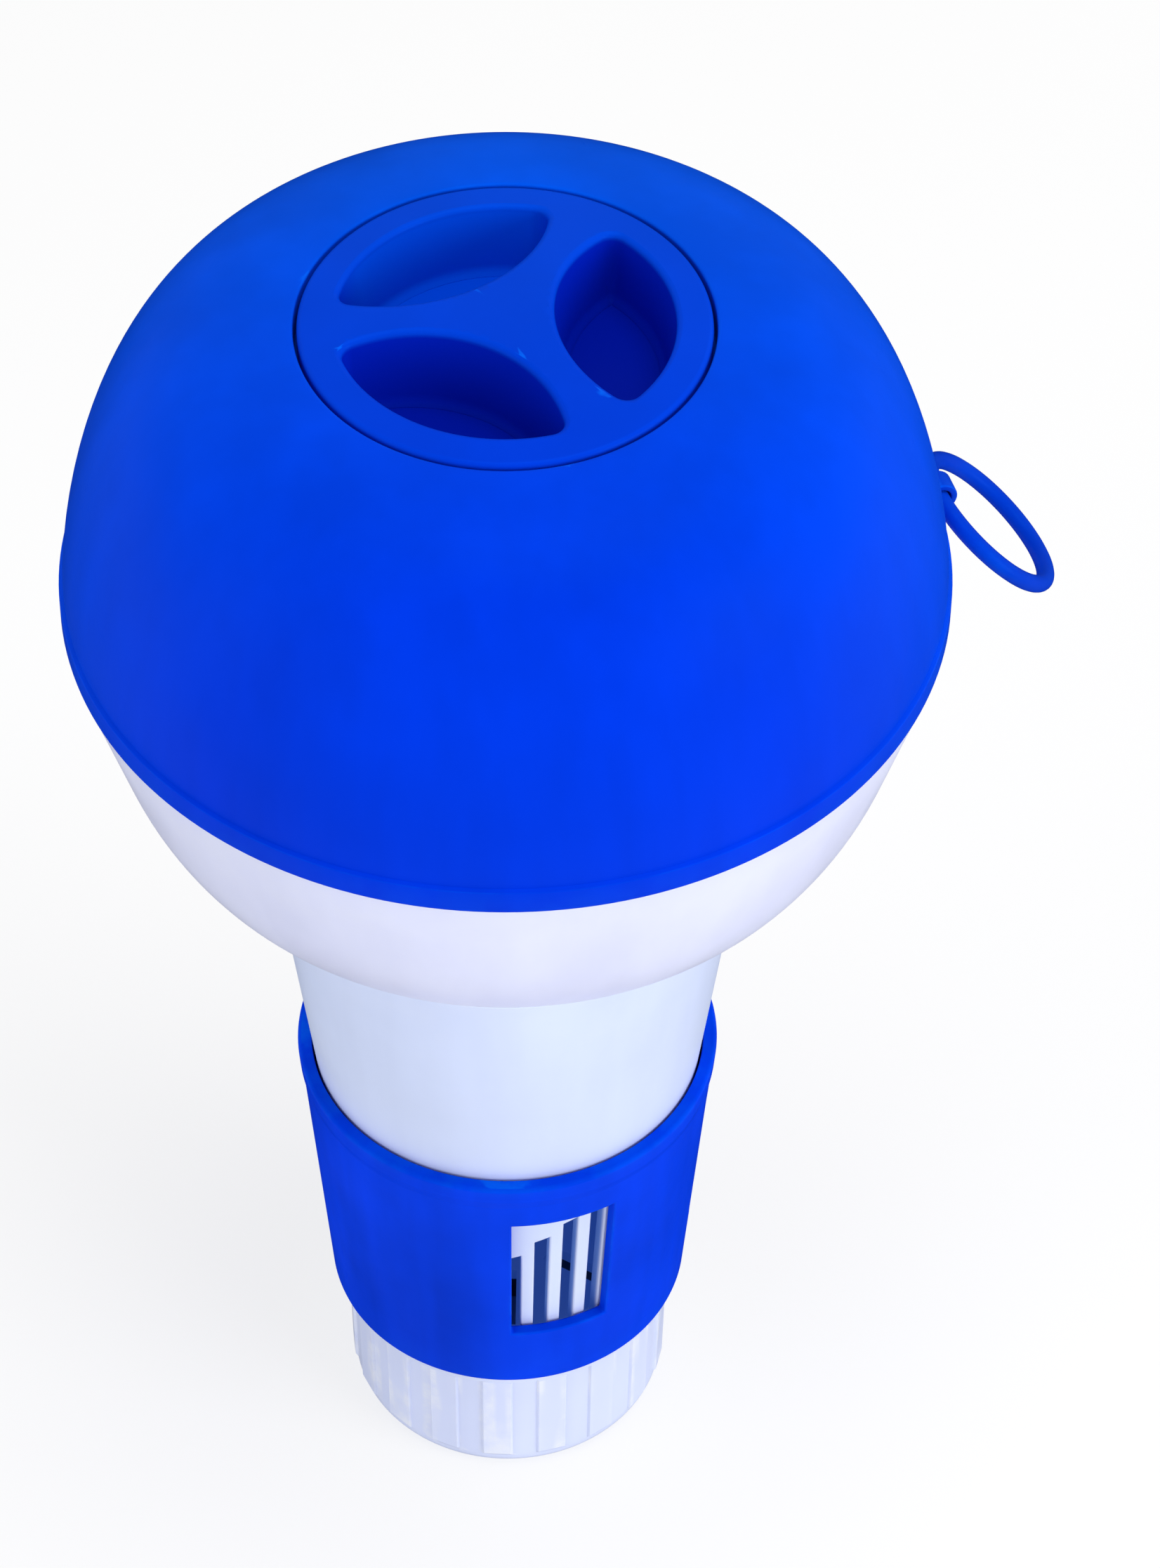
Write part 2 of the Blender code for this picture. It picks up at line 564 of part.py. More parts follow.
def lid(look):
    bore = LID_SKIRT_RADIUS - LID_SKIRT_WALL
    edge = LID_RADIUS - LID_EDGE_ROUND
    outer = [(r, lid_top(r)) for r in (0.0, 8.0, 16.0, 22.0, edge)]
    outer += arc(edge, lid_top(edge) - LID_EDGE_ROUND, LID_EDGE_ROUND, 50.0, 0.0, 3)
    outer += [(LID_RADIUS, LID_UNDERSIDE), (LID_SKIRT_RADIUS, LID_UNDERSIDE)]
    outer += [(LID_SKIRT_RADIUS, LID_SKIRT_BOTTOM), (bore, LID_SKIRT_BOTTOM)]
    outer += [(r, lid_top(r) - LID_PLATE) for r in (bore, 12.0, 0.0)]
    item = turned("lid", outer, look, FINE, closed=False)
    for number, azimuth in enumerate(LUG_AZIMUTHS):
        lug = prism(f"lid_lug_{number}", sector(bore + 0.5, LUG_RADIUS, azimuth, LUG_ARC),
                    LUG_BOTTOM, LUG_TOP)
        boolean(item, lug, "UNION")
    for number, azimuth in enumerate(RECESS_AZIMUTHS):
        cup = prism(f"recess_wall_{number}", turn_outline(recess_outline(RECESS_WALL), azimuth),
                    RECESS_FLOOR - RECESS_WALL, RECESS_WALL_TOP)
        boolean(item, cup, "UNION")
        hollow = prism(f"recess_{number}", turn_outline(recess_outline(0.0), azimuth),
                       RECESS_FLOOR, LID_TOP + 5.0)
        boolean(item, hollow, "DIFFERENCE")
    return item


def lid_gasket(look):
    bottom, top = SEAT_HEIGHT + GASKET_GAP, LID_UNDERSIDE - GASKET_GAP
    profile = [(GASKET_OUTER, top), (GASKET_OUTER, bottom), (GASKET_INNER, bottom)]
    profile += [(GASKET_INNER, top)]
    return turned("lid_gasket", profile, look, COARSE)


# ---------------------------------------------------------------- tether ring

def ring_lug(look):
    """A short eye whose bore lies along the rim, on a root that fills the notch in the band."""
    length = HINGE_RADIUS - LUG_ROOT_RADIUS
    root_place = at(LUG_ROOT_RADIUS + length / 2.0, RING_AZIMUTH, HINGE_HEIGHT)
    shape = bmesh.new()
    scale = Matrix.Diagonal((length * MM, RING_LUG_WIDTH * MM, 2.0 * LUG_EYE_RADIUS * MM, 1.0))
    bmesh.ops.create_cube(shape, size=1.0, matrix=root_place @ scale)
    mesh = bpy.data.meshes.new("ring_lug")
    shape.to_mesh(mesh)
    shape.free()
    item = keep(bpy.data.objects.new("ring_lug", mesh), PARTS, look)
    along_rim = at(HINGE_RADIUS, RING_AZIMUTH, HINGE_HEIGHT) @ Matrix.Rotation(math.pi / 2.0, 4, "X")
    eye = cylinder("lug_eye", LUG_EYE_RADIUS, RING_LUG_WIDTH, along_rim)
    bore = cylinder("lug_bore", LUG_EYE_BORE, RING_LUG_WIDTH + 4.0, along_rim)
    boolean(item, eye, "UNION")
    boolean(item, bore, "DIFFERENCE")
    return item


def tether_ring(look):
    """The ring hangs out and down from its hinge, which is its object's origin."""
    hinge = at(HINGE_RADIUS, RING_AZIMUTH, HINGE_HEIGHT)
    bpy.ops.mesh.primitive_torus_add(major_radius=RING_RADIUS * MM, minor_radius=RING_SECTION * MM,
                                     major_segments=40, minor_segments=8)
    item = bpy.context.object
    item.name = "tether_ring"
    item.data.transform(Matrix.Translation((RING_RADIUS * MM, 0.0, 0.0)))
    item.matrix_world = hinge @ Matrix.Rotation(math.radians(RING_DROOP), 4, "Y")
    return keep(item, PARTS, look)


# ---------------------------------------------------------------- assembly

def build():
    dome_blue = material("dome_blue", BLUE, 0.34)
    lid_blue = material("lid_blue", LID_BLUE, 0.36)
    collar_blue = material("collar_blue", BLUE, 0.32)
    ring_blue = material("ring_blue", LID_BLUE, 0.34)
    lug_blue = material("lug_blue", LID_BLUE, 0.34)
    bowl_white = material("bowl_white", WHITE, 0.36)
    tube_white = material("tube_white", WHITE, 0.40)
    cap_white = material("cap_white", WHITE, 0.42)
    neck_white = material("neck_white", WHITE, 0.42)
    grate_white = material("grate_white", WHITE, 0.45)
    seal_rubber = material("seal_rubber", (0.03, 0.03, 0.035), 0.6)
    coated_iron = material("coated_iron", (0.06, 0.09, 0.10), 0.5, 0.6)

    made = [
        float_dome(dome_blue),
        float_bowl(bowl_white),
        filler_neck(neck_white),
        tablet_tube(tube_white),
        base_cap(cap_white),
        tablet_grate(grate_white),
        ballast_ring(coated_iron),
        flow_collar(collar_blue),
        lid(lid_blue),
        lid_gasket(seal_rubber),
        o_ring("rim_seal", RIM_SEAL_RADIUS, (SEAL_SHELF + BOWL_EDGE_TOP) / 2.0, seal_rubber),
        o_ring("neck_upper_seal", UPPER_SEAL_RADIUS, (NECK_BOTTOM + FILLER_FLANGE_TOP) / 2.0, seal_rubber),
        o_ring("neck_lower_seal", LOWER_SEAL_RADIUS, (FILLER_FOOT + BOSS_TOP) / 2.0, seal_rubber),
        o_ring("tube_seal", SPIGOT_RADIUS - SEAL_SECTION, (GROOVE_BOTTOM + GROOVE_TOP) / 2.0, seal_rubber),
        ring_lug(lug_blue),
        tether_ring(ring_blue),
    ]
    for item in made:
        shade(item)


build()
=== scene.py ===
"""Looks of the floating chlorine dispenser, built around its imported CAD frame.

Each visible moulding is made again as a fine closed mesh: turned shells with rounded edges, a lid
with drafted finger recesses, a slotted tube, a windowed collar and a ribbed base. Profiles are in
millimetres and take their main radii and heights from the frame; azimuths are degrees from +X to +Y.
"""
import json
import math

import bmesh
import bpy
import numpy as np
from mathutils import Matrix, Vector
from mathutils.geometry import interpolate_bezier


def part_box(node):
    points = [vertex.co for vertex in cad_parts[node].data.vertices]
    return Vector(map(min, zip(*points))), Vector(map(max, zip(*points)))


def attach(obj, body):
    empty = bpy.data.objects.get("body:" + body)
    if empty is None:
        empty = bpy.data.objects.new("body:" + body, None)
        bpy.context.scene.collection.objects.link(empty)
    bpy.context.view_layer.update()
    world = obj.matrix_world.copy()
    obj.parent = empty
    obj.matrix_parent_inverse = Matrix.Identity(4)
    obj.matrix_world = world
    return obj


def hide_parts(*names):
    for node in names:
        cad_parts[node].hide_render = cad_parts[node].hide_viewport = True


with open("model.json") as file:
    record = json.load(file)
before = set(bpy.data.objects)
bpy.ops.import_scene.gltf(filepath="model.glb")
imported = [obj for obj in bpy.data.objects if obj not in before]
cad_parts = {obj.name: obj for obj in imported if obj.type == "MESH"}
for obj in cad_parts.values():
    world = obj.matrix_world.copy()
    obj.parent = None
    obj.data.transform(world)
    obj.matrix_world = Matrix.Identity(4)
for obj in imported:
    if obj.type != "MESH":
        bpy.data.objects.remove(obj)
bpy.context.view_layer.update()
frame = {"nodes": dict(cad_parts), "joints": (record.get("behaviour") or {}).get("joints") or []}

MM = 0.001
FRONT = -90.0
FINE, MEDIUM = 192, 128    # facets round the large and the small turned shells
ROUND_POINTS = 5           # on each rounded corner of a profile
ON_AXIS = 1e-6


# ---------------------------------------------------------------- measures from the frame

def low(node, axis):
    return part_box(node)[0][axis] / MM


def high(node, axis):
    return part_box(node)[1][axis] / MM


X, Z = 0, 2
RIM_RADIUS = high("float_dome", X)
RIM_BOTTOM = low("float_dome", Z)
BOWL_TOP = high("float_bowl", Z)
BOWL_RADIUS = high("float_bowl", X)
NECK_JOINT = low("float_bowl", Z)
LID_RADIUS = high("lid", X)
LID_TOP = high("lid", Z)
LID_BOTTOM = low("lid", Z)
TUBE_TOP = high("tablet_tube", Z)
TUBE_BOTTOM = low("tablet_tube", Z)
COLLAR_TOP = high("flow_collar", Z)
COLLAR_BOTTOM = low("flow_collar", Z)
COLLAR_RADIUS = high("flow_collar", X)
CAP_TOP = high("base_cap", Z)
CAP_FLANGE = high("base_cap", X)
FILLER_TOP = high("filler_neck", Z)
FILLER_BOTTOM = low("filler_neck", Z)
FOOT_RADIUS = high("filler_neck", X)
GASKET_TOP = high("lid_gasket", Z)
GASKET_BOTTOM = low("lid_gasket", Z)
GASKET_RADIUS = high("lid_gasket", X)

# Float
BAND_TOP = RIM_BOTTOM + 4.4
BAND_STEP = 0.6
DOME_RISE = 45.8
DOME_SPREAD, DOME_ROUND = 5.67, 1.523
DOME_BORE = 60.6
DOME_WALL = 2.6            # at the crown
SEAL_SHELF = RIM_BOTTOM + 4.8
SKIRT_BORE = RIM_RADIUS - 1.3
BOWL_WALL = 2.0
BOWL_CONE_TOP = RIM_BOTTOM - 4.5
BOWL_CONE_END, BOWL_CONE_END_RADIUS = RIM_BOTTOM - 19.5, 57.6
BOWL_FLOOR, BOWL_FLAT_RADIUS = 135.9, 39.5
BOWL_CONE_PULL, BOWL_FLAT_PULL = 10.0, 9.0
NECK_FLARE, NECK_FILLET = 0.7, 2.6
BOSS_TOP, BOSS_BORE = 144.4, 33.55
FILLER_LIP, FILLER_BORE, FILLER_FLANGE = 27.5, 25.7, FILLER_TOP - 7.6
FILLER_TAPER_TOP, FILLER_TAPER_FOOT, FILLER_SHOULDER = 28.6, 31.6, 33.0
FOOT_TOP, FOOT_BORE = FILLER_BOTTOM + 2.0, 29.8

# Lid and socket
LID_CROWN = 2.0            # how much lower the lid's top stands at its edge
LID_EDGE_ROUND = 0.9
CROWN_SWEEP = 78.0         # degrees of a round that meets the crowned top
LID_PLATE = 2.8
LID_UNDERSIDE = GASKET_TOP + 0.3
SKIRT_RADIUS, SKIRT_BORE_RADIUS = 25.4, 23.7
RECESS_OUTER, RECESS_CENTRE, RECESS_RADIUS = 23.4, 28.1, 21.35
RECESS_FLOOR = 215.7
RECESS_TIP = 2.2           # radius of the lens's two tips at the top
RECESS_LIP = 0.9           # radius of the lip's round
RECESS_DRAFT = 1.1         # how much the walls close in on the way down
RECESS_FILLET = 1.6
CUP_RINGS = ((RECESS_FLOOR - 1.5, -0.9), (RECESS_FLOOR - 0.7, -0.1), (LID_TOP - 2.2, 0.9))
LENS_POINTS, TIP_POINTS = 30, 10
RECESS_AZIMUTHS = (3.7, 123.7, 243.7)
LUG_AZIMUTHS = (60.0, 180.0, 300.0)
LUG_ARC = 20.0
LUG_RADIUS, LUG_BOTTOM, LUG_TOP = 27.3, 210.9, 213.9
GASKET_WIDTH, GASKET_ROUND = 2.0, 0.25
SOCKET_RADIUS = LID_RADIUS + 0.5
SEAT = GASKET_BOTTOM - 0.3
THROAT_RADIUS, LIP_BOTTOM = 25.9, 214.5
NECK_BORE, NECK_RADIUS, NECK_BOTTOM = 27.8, 30.8, 204.0

# Tube and collar
COLLAR_GAP, COLLAR_WALL = 0.35, 2.15
TUBE_RADIUS = COLLAR_RADIUS - COLLAR_GAP - COLLAR_WALL
TUBE_TAPER, TUBE_FLARE, TUBE_WALL = 0.0775, 0.12, 2.2
SHOULDER = NECK_JOINT - 0.3
SPIGOT_RADIUS, SPIGOT_BORE = 33.2, 30.0
GROOVE_TOP, GROOVE_BOTTOM, GROOVE_DEPTH = 135.0, 133.0, 1.8
TUBE_FOOT_RADIUS, TUBE_FOOT_BORE = 23.6, 21.4
SLOT_PITCH, SLOT_WIDTH, SLOTS, FIRST_SLOT = 9.0, 4.8, 8, -15.3
SLOT_BOTTOM, SLOT_TOP, SLOT_RAMP, SLOT_CURVE, SLOT_SLANT = 36.5, 72.1, 24.1, 1.6, 0.9
TUBE_STEP = 2.0            # degrees between points round the tube
ROWS, ROW_STEP = 13, 3.2   # points up the slotted wall; the collar's wall has as many rows
WINDOW_CENTRE, WINDOW_ARC, WINDOW_BOTTOM, WINDOW_TOP = 17.2, 30.3, 40.1, 69.5
WINDOW_STEP = 1.9          # degrees between points round the collar
WINDOW_MARGIN = 1.2
COLLAR_BAND, COLLAR_BAND_FADE, COLLAR_BAND_STEP = COLLAR_TOP - 3.2, 1.6, 0.25
GRIP_ARC, GRIP_DEPTH = 17.0, 0.6
PANEL_EDGE = 0.7           # degrees over which a panel or rib rises

# Base
CAP_RADIUS, CAP_BORE, CAP_FLOOR, CAP_CORNER, CAP_DRAFT = 25.5, 23.9, 2.2, 3.0, 0.4
RIBS, RIB_HEIGHT, RIB_WIDTH, RIB_START = 18, 0.4, 4.4, FRONT - 3.0
RIB_FLATNESS = 0.8         # 1 makes a rib's face quite flat
BASE_GROOVE_OUTER, BASE_GROOVE_INNER, BASE_GROOVE_DEPTH, BASE_GROOVE_SLOPE = 19.0, 17.0, 0.6, 0.4

# Tether ring, whose hinge comes from its joint
RING_JOINT = next(joint for joint in frame["joints"] if joint["name"] == "ring_swing")
HINGE = Vector(RING_JOINT["pos_m"])
RING_AZIMUTH = math.degrees(math.atan2(HINGE.y, HINGE.x))
RING_RADIUS, RING_SECTION, RING_DROOP = 11.9, 1.35, 45.0
RING_FLATNESS = 0.96
LUG_EYE_RADIUS, LUG_EYE_BORE, LUG_WIDTH = 2.6, 1.7, 3.6
LUG_ROOT = 2.7             # from the hinge in to the lug's root
LUG_EDGE = 0.3             # how far the lug's outline is drawn in, to be rounded out again
LUG_BORE_EDGE, LUG_BEVEL = 0.2, 0.28
NOTCH_DEPTH, NOTCH_REACH, NOTCH_GAP, NOTCH_HEADROOM = 3.3, 4.0, 0.2, 0.3


# ---------------------------------------------------------------- profiles

def arc(centre_r, centre_z, radius, start, end, points):
    """Points of a round from one angle to another, both in degrees."""
    made = []
    for step in range(points):
        angle = math.radians(start + (end - start) * step / (points - 1))
        made.append((centre_r + radius * math.cos(angle), centre_z + radius * math.sin(angle)))
    return made


def rounded(corners, closed=True):
    """A profile from (r, z) or (r, z, radius) corners, each radius rounding its corner."""
    made = []
    count = len(corners)
    for index, corner in enumerate(corners):
        here = Vector(corner[:2])
        radius = corner[2] if len(corner) > 2 else 0.0
        at_end = not closed and index in (0, count - 1)
        if radius <= 0.0 or at_end:
            made.append(tuple(here))
            continue
        back = Vector(corners[index - 1][:2]) - here
        ahead = Vector(corners[(index + 1) % count][:2]) - here
        angle = back.angle(ahead)
        if angle > math.radians(178.0):
            made.append(tuple(here))
            continue
        reach = min(radius / math.tan(angle / 2.0), 0.48 * back.length, 0.48 * ahead.length)
        start = here + back.normalized() * reach
        end = here + ahead.normalized() * reach
        size = reach * math.tan(angle / 2.0)
        inward = (back.normalized() + ahead.normalized()).normalized()
        middle = here + inward * size / math.sin(angle / 2.0)
        first, last = start - middle, end - middle
        sweep = first.angle_signed(last)
        for step in range(ROUND_POINTS):
            turn = -sweep * step / (ROUND_POINTS - 1)
            cosine, sine = math.cos(turn), math.sin(turn)
            made.append((middle.x + first.x * cosine - first.y * sine,
                         middle.y + first.x * sine + first.y * cosine))
    return made


def tube_radius(height):
    """The tube's outer radius, which flares more above the collar."""
    taper = TUBE_TAPER if height < COLLAR_TOP else TUBE_FLARE
    return TUBE_RADIUS + taper * (height - COLLAR_TOP)


def from_azimuth(turn, centre):
    """How far turn lies from centre, in degrees between -180 and 180."""
    return (turn - centre + 180.0) % 360.0 - 180.0


# ---------------------------------------------------------------- meshes

def link(name, data):
    item = bpy.data.objects.new(name, data)
    bpy.context.scene.collection.objects.link(item)
    return item


def smooth(mesh, sharp):
    mesh.shade_smooth()
    mesh.set_sharp_from_angle(angle=math.radians(sharp))


def finish_mesh(name, shape, sharp=38.0):
    """Makes a shape into an object with smooth shading, sharp where faces turn by the given angle."""
    bmesh.ops.recalc_face_normals(shape, faces=shape.faces)
    mesh = bpy.data.meshes.new(name)
    shape.to_mesh(mesh)
    shape.free()
    smooth(mesh, sharp)
    return link(name, mesh)


def even_angles(count):
    return [360.0 * index / count for index in range(count)]


def angles_through(breaks, step):
    """Angles round the circle that hit every break, with about even steps between breaks."""
    marks = sorted(value % 360.0 for value in breaks)
    made = []
    for index, start in enumerate(marks):
        end = marks[index + 1] if index + 1 < len(marks) else marks[0] + 360.0
        parts = max(1, round((end - start) / step))
        made += [start + (end - start) * part / parts for part in range(parts)]
    return made


def nearest(angles, turn):
    return min(range(len(angles)), key=lambda index: abs(from_azimuth(angles[index], turn)))


def lathe(profile, angles, closed=True, shape_radius=None, skip=None):
    """A turned shape on the given angles, with its columns of points.

    An open profile starts and ends on the axis. shape_radius(angle, index, r, z) may push a point in
    or out, and skip(angle index, profile index) leaves out a face, for openings closed afterwards.
    """
    shape = bmesh.new()
    columns = []
    axis_verts = {}
    for turn in angles:
        cosine, sine = math.cos(math.radians(turn)), math.sin(math.radians(turn))
        column = []
        for index, (r, z) in enumerate(profile):
            if shape_radius:
                r = r + shape_radius(turn, index, r, z)
            if r < ON_AXIS:
                if index not in axis_verts:
                    axis_verts[index] = shape.verts.new((0.0, 0.0, z * MM))
                column.append(axis_verts[index])
            else:
                column.append(shape.verts.new((r * cosine * MM, r * sine * MM, z * MM)))
        columns.append(column)
    last = len(profile) if closed else len(profile) - 1
    for a, column in enumerate(columns):
        after = columns[(a + 1) % len(columns)]
        for p in range(last):
            if skip and skip(a, p):
                continue
            q = (p + 1) % len(profile)
            corners = [column[p], column[q], after[q], after[p]]
            corners = [v for i, v in enumerate(corners) if v not in corners[:i]]
            shape.faces.new(corners)
    return shape, columns


def turned(name, profile, facets=FINE, closed=True):
    shape, _ = lathe(profile, even_angles(facets), closed)
    return finish_mesh(name, shape)


def flatten(item, weight):
    """Keeps flat faces flat beside rounded edges."""
    even = item.modifiers.new("flat_faces", "WEIGHTED_NORMAL")
    even.keep_sharp = True
    even.weight = weight


def boolean(item, tool, operation):
    """Applies a Boolean at once and removes the tool."""
    step = item.modifiers.new("join", "BOOLEAN")
    step.operation = operation
    step.solver = "EXACT"
    step.object = tool
    bpy.context.view_layer.update()
    graph = bpy.context.evaluated_depsgraph_get()
    made = bpy.data.meshes.new_from_object(item.evaluated_get(graph))
    item.modifiers.remove(step)
    item.data = made
    bpy.data.objects.remove(tool)


def loft(name, rings):
    """A closed solid through rings of equal point counts, bottom first, capped at both ends."""
    shape = bmesh.new()
    rows = [[shape.verts.new(Vector(point) * MM) for point in ring] for ring in rings]
    count = len(rows[0])
    for lower, upper in zip(rows, rows[1:]):
        for i in range(count):
            j = (i + 1) % count
            shape.faces.new((lower[i], lower[j], upper[j], upper[i]))
    shape.faces.new(list(reversed(rows[0])))
    shape.faces.new(rows[-1])
    return finish_mesh(name, shape)


def soften(item, width, segments=2, angle=50.0):
    """Rounds the sharp edges that a profile can't round, and keeps the faces flat."""
    bevel = item.modifiers.new("soft_edges", "BEVEL")
    bevel.width = width * MM
    bevel.segments = segments
    bevel.limit_method = "ANGLE"
    bevel.angle_limit = math.radians(angle)
    bevel.use_clamp_overlap = True
    flatten(item, 90)


# ---------------------------------------------------------------- the float

def superellipse(radius, base, rise, first_radius, points):
    """The dome's curve from a radius near the top down to its widest, at the base."""
    start = math.asin((first_radius / radius) ** (DOME_SPREAD / 2.0))
    made = []
    for step in range(points):
        angle = start + (math.pi / 2.0 - start) * step / (points - 1)
        made.append((radius * math.sin(angle) ** (2.0 / DOME_SPREAD),
                     base + rise * max(math.cos(angle), 0.0) ** (2.0 / DOME_ROUND)))
    return made


def make_dome():
    """The upper shell, with its rim band, the lid's socket and a notch for the ring's lug."""
    outer = superellipse(RIM_RADIUS - BAND_STEP, BAND_TOP, DOME_RISE, SOCKET_RADIUS + 0.8, 64)
    inner = superellipse(DOME_BORE, SEAL_SHELF, DOME_RISE - DOME_WALL, NECK_RADIUS, 40)
    edge = outer[0][1]
    band = [(RIM_RADIUS - BAND_STEP, BAND_TOP), (RIM_RADIUS, BAND_TOP - 0.35, 0.35)]
    band += [(RIM_RADIUS, RIM_BOTTOM, 0.55), (SKIRT_BORE, RIM_BOTTOM, 0.4), (SKIRT_BORE, SEAL_SHELF)]
    band += [(DOME_BORE, SEAL_SHELF)]
    socket = [(NECK_RADIUS, inner[0][1]), (NECK_RADIUS, NECK_BOTTOM, 0.4), (NECK_BORE, NECK_BOTTOM, 0.4)]
    socket += [(NECK_BORE, LIP_BOTTOM), (THROAT_RADIUS, LIP_BOTTOM, 0.3), (THROAT_RADIUS, SEAT, 0.4)]
    socket += [(SOCKET_RADIUS, SEAT, 0.3), (SOCKET_RADIUS, edge + 0.02, 0.5), outer[0]]
    profile = outer[:-1] + rounded(band, closed=False)[:-1]
    profile += list(reversed(inner)) + rounded(socket, closed=False)[1:-1]
    lip = [i for i, (r, z) in enumerate(profile) if r < NECK_BORE - 0.5 and z > LIP_BOTTOM - 0.1]
    half = LUG_ARC / 2.0 + 2.0

    def entry(turn, index, r, z):
        """Opens the bayonet lip where the lid's lugs drop in."""
        if index not in lip or z > SEAT - 0.6:
            return 0.0
        inside = any(abs(from_azimuth(turn, lug)) < half for lug in LUG_AZIMUTHS)
        return NECK_BORE - 0.05 - r if inside else 0.0

    breaks = [lug + side * reach for lug in LUG_AZIMUTHS for side in (-1, 1)
              for reach in (half - 0.05, half + 0.3)]
    shape, _ = lathe(profile, angles_through(breaks, 360.0 / FINE), shape_radius=entry)
    dome = finish_mesh("dome_shell", shape)
    notch_top = HINGE.z / MM + LUG_EYE_RADIUS + NOTCH_HEADROOM
    place = Matrix.Rotation(math.radians(RING_AZIMUTH), 4, "Z")
    inner_end, outer_end = RIM_RADIUS - NOTCH_DEPTH, RIM_RADIUS + NOTCH_REACH
    side = LUG_WIDTH / 2.0 + NOTCH_GAP
    corners = [(inner_end, -side), (outer_end, -side), (outer_end, side), (inner_end, side)]
    rings = [[tuple(place @ Vector((x, y, z))) for x, y in corners]
             for z in (RIM_BOTTOM - NOTCH_REACH, notch_top)]
    boolean(dome, loft("notch", rings), "DIFFERENCE")
    smooth(dome.data, 38.0)
    return dome


def bowl_side(offset, points):
    """The bowl's side at an offset into the wall: a slight cone that curves into the flat floor."""
    cone_top = Vector((BOWL_RADIUS - offset, BOWL_CONE_TOP))
    cone_end = Vector((BOWL_CONE_END_RADIUS - offset, BOWL_CONE_END + 0.3 * offset))
    floor = Vector((BOWL_FLAT_RADIUS, BOWL_FLOOR + offset))
    down = (cone_end - cone_top).normalized()
    shorter = 0.6 * offset
    curve = interpolate_bezier(cone_end, cone_end + down * (BOWL_CONE_PULL - shorter),
                               floor + Vector((BOWL_FLAT_PULL - shorter, 0.0)), floor, points)
    return [tuple(cone_top)] + [tuple(point) for point in curve]


def make_bowl():
    """The lower shell, with the neck below it and the boss inside for the filler neck's foot."""
    neck_top = tube_radius(SHOULDER) + NECK_FLARE
    outer = [(BOWL_RADIUS, BOWL_TOP - 0.5)] + bowl_side(0.0, 36)
    outer += arc(neck_top + NECK_FILLET, BOWL_FLOOR - NECK_FILLET, NECK_FILLET, 90.0, 180.0, 10)
    lower = [(tube_radius(SHOULDER) + 0.1, NECK_JOINT + 0.3), (tube_radius(SHOULDER) - 0.2, NECK_JOINT)]
    bore = [(BOSS_BORE, NECK_JOINT), (BOSS_BORE, BOSS_TOP), (FOOT_RADIUS, BOSS_TOP)]
    bore += [(FOOT_RADIUS, BOWL_FLOOR + BOWL_WALL)]
    inner = list(reversed(bowl_side(BOWL_WALL, 24)))
    top = [(BOWL_RADIUS - BOWL_WALL, BOWL_TOP), (BOWL_RADIUS - 0.5, BOWL_TOP)]
    return turned("bowl_shell", outer + lower + bore + inner + top)


def make_filler_neck():
    """The inner tube from the socket down to the tablet tube, which widens towards its foot."""
    corners = [(FILLER_LIP, FILLER_TOP, 0.5), (FILLER_LIP, FILLER_FLANGE), (NECK_RADIUS, FILLER_FLANGE, 0.3)]
    corners += [(NECK_RADIUS, FILLER_FLANGE - 1.8, 0.5), (FILLER_TAPER_TOP, FILLER_FLANGE - 3.0, 0.8)]
    corners += [(FILLER_TAPER_FOOT, FILLER_BOTTOM + 3.6, 1.0), (FILLER_SHOULDER, FOOT_TOP, 0.5)]
    corners += [(FOOT_RADIUS, FOOT_TOP, 0.4), (FOOT_RADIUS, FILLER_BOTTOM, 0.3)]
    corners += [(FOOT_BORE, FILLER_BOTTOM, 0.4), (FOOT_BORE, FILLER_BOTTOM + 3.0, 2.0)]
    corners += [(FILLER_BORE, FILLER_FLANGE - 2.0, 2.0), (FILLER_BORE, FILLER_TOP, 0.5)]
    return turned("filler_tube", rounded(corners), MEDIUM)


# ---------------------------------------------------------------- tube, collar and base

class Sides:
    """Where a row of points lies in a profile: rows count up on the outer and on the inner side."""

    def __init__(self, outer_last, inner_first):
        self.outer_last = outer_last
        self.inner_first = inner_first

    def outer(self, row):
        return self.outer_last - row

    def inner(self, row):
        return self.inner_first + row


def open_faces(openings, turns, sides):
    """A skip test for lathe: whether a face, outside or inside, lies in an opening."""
    def skip(a, p):
        for first, last, bottom, top in openings:
            if (a - first) % turns >= last - first:
                continue
            if sides.outer(top) <= p < sides.outer(bottom) or sides.inner(bottom) <= p < sides.inner(top):
                return True
        return False
    return skip


def slot_top(number):
    """The tops of the slots climb from left to right, ever less steeply."""
    left = 1.0 - number / (SLOTS - 1)
    return SLOT_TOP - SLOT_RAMP * left ** SLOT_CURVE


def jambs(shape, columns, opening, sides):
    """Walls of one opening, from the outer side to the inner side, all the way round its edge."""
    first, last, bottom, top = opening
    path = [(a, bottom) for a in range(first, last)]
    path += [(last, row) for row in range(bottom, top)]
    path += [(a, top) for a in range(last, first, -1)]
    path += [(first, row) for row in range(top, bottom, -1)]
    for (here, row), (ahead, next_row) in zip(path, path[1:] + path[:1]):
        this_column, next_column = columns[here % len(columns)], columns[ahead % len(columns)]
        shape.faces.new((this_column[sides.outer(row)], next_column[sides.outer(next_row)],
                         next_column[sides.inner(next_row)], this_column[sides.inner(row)]))


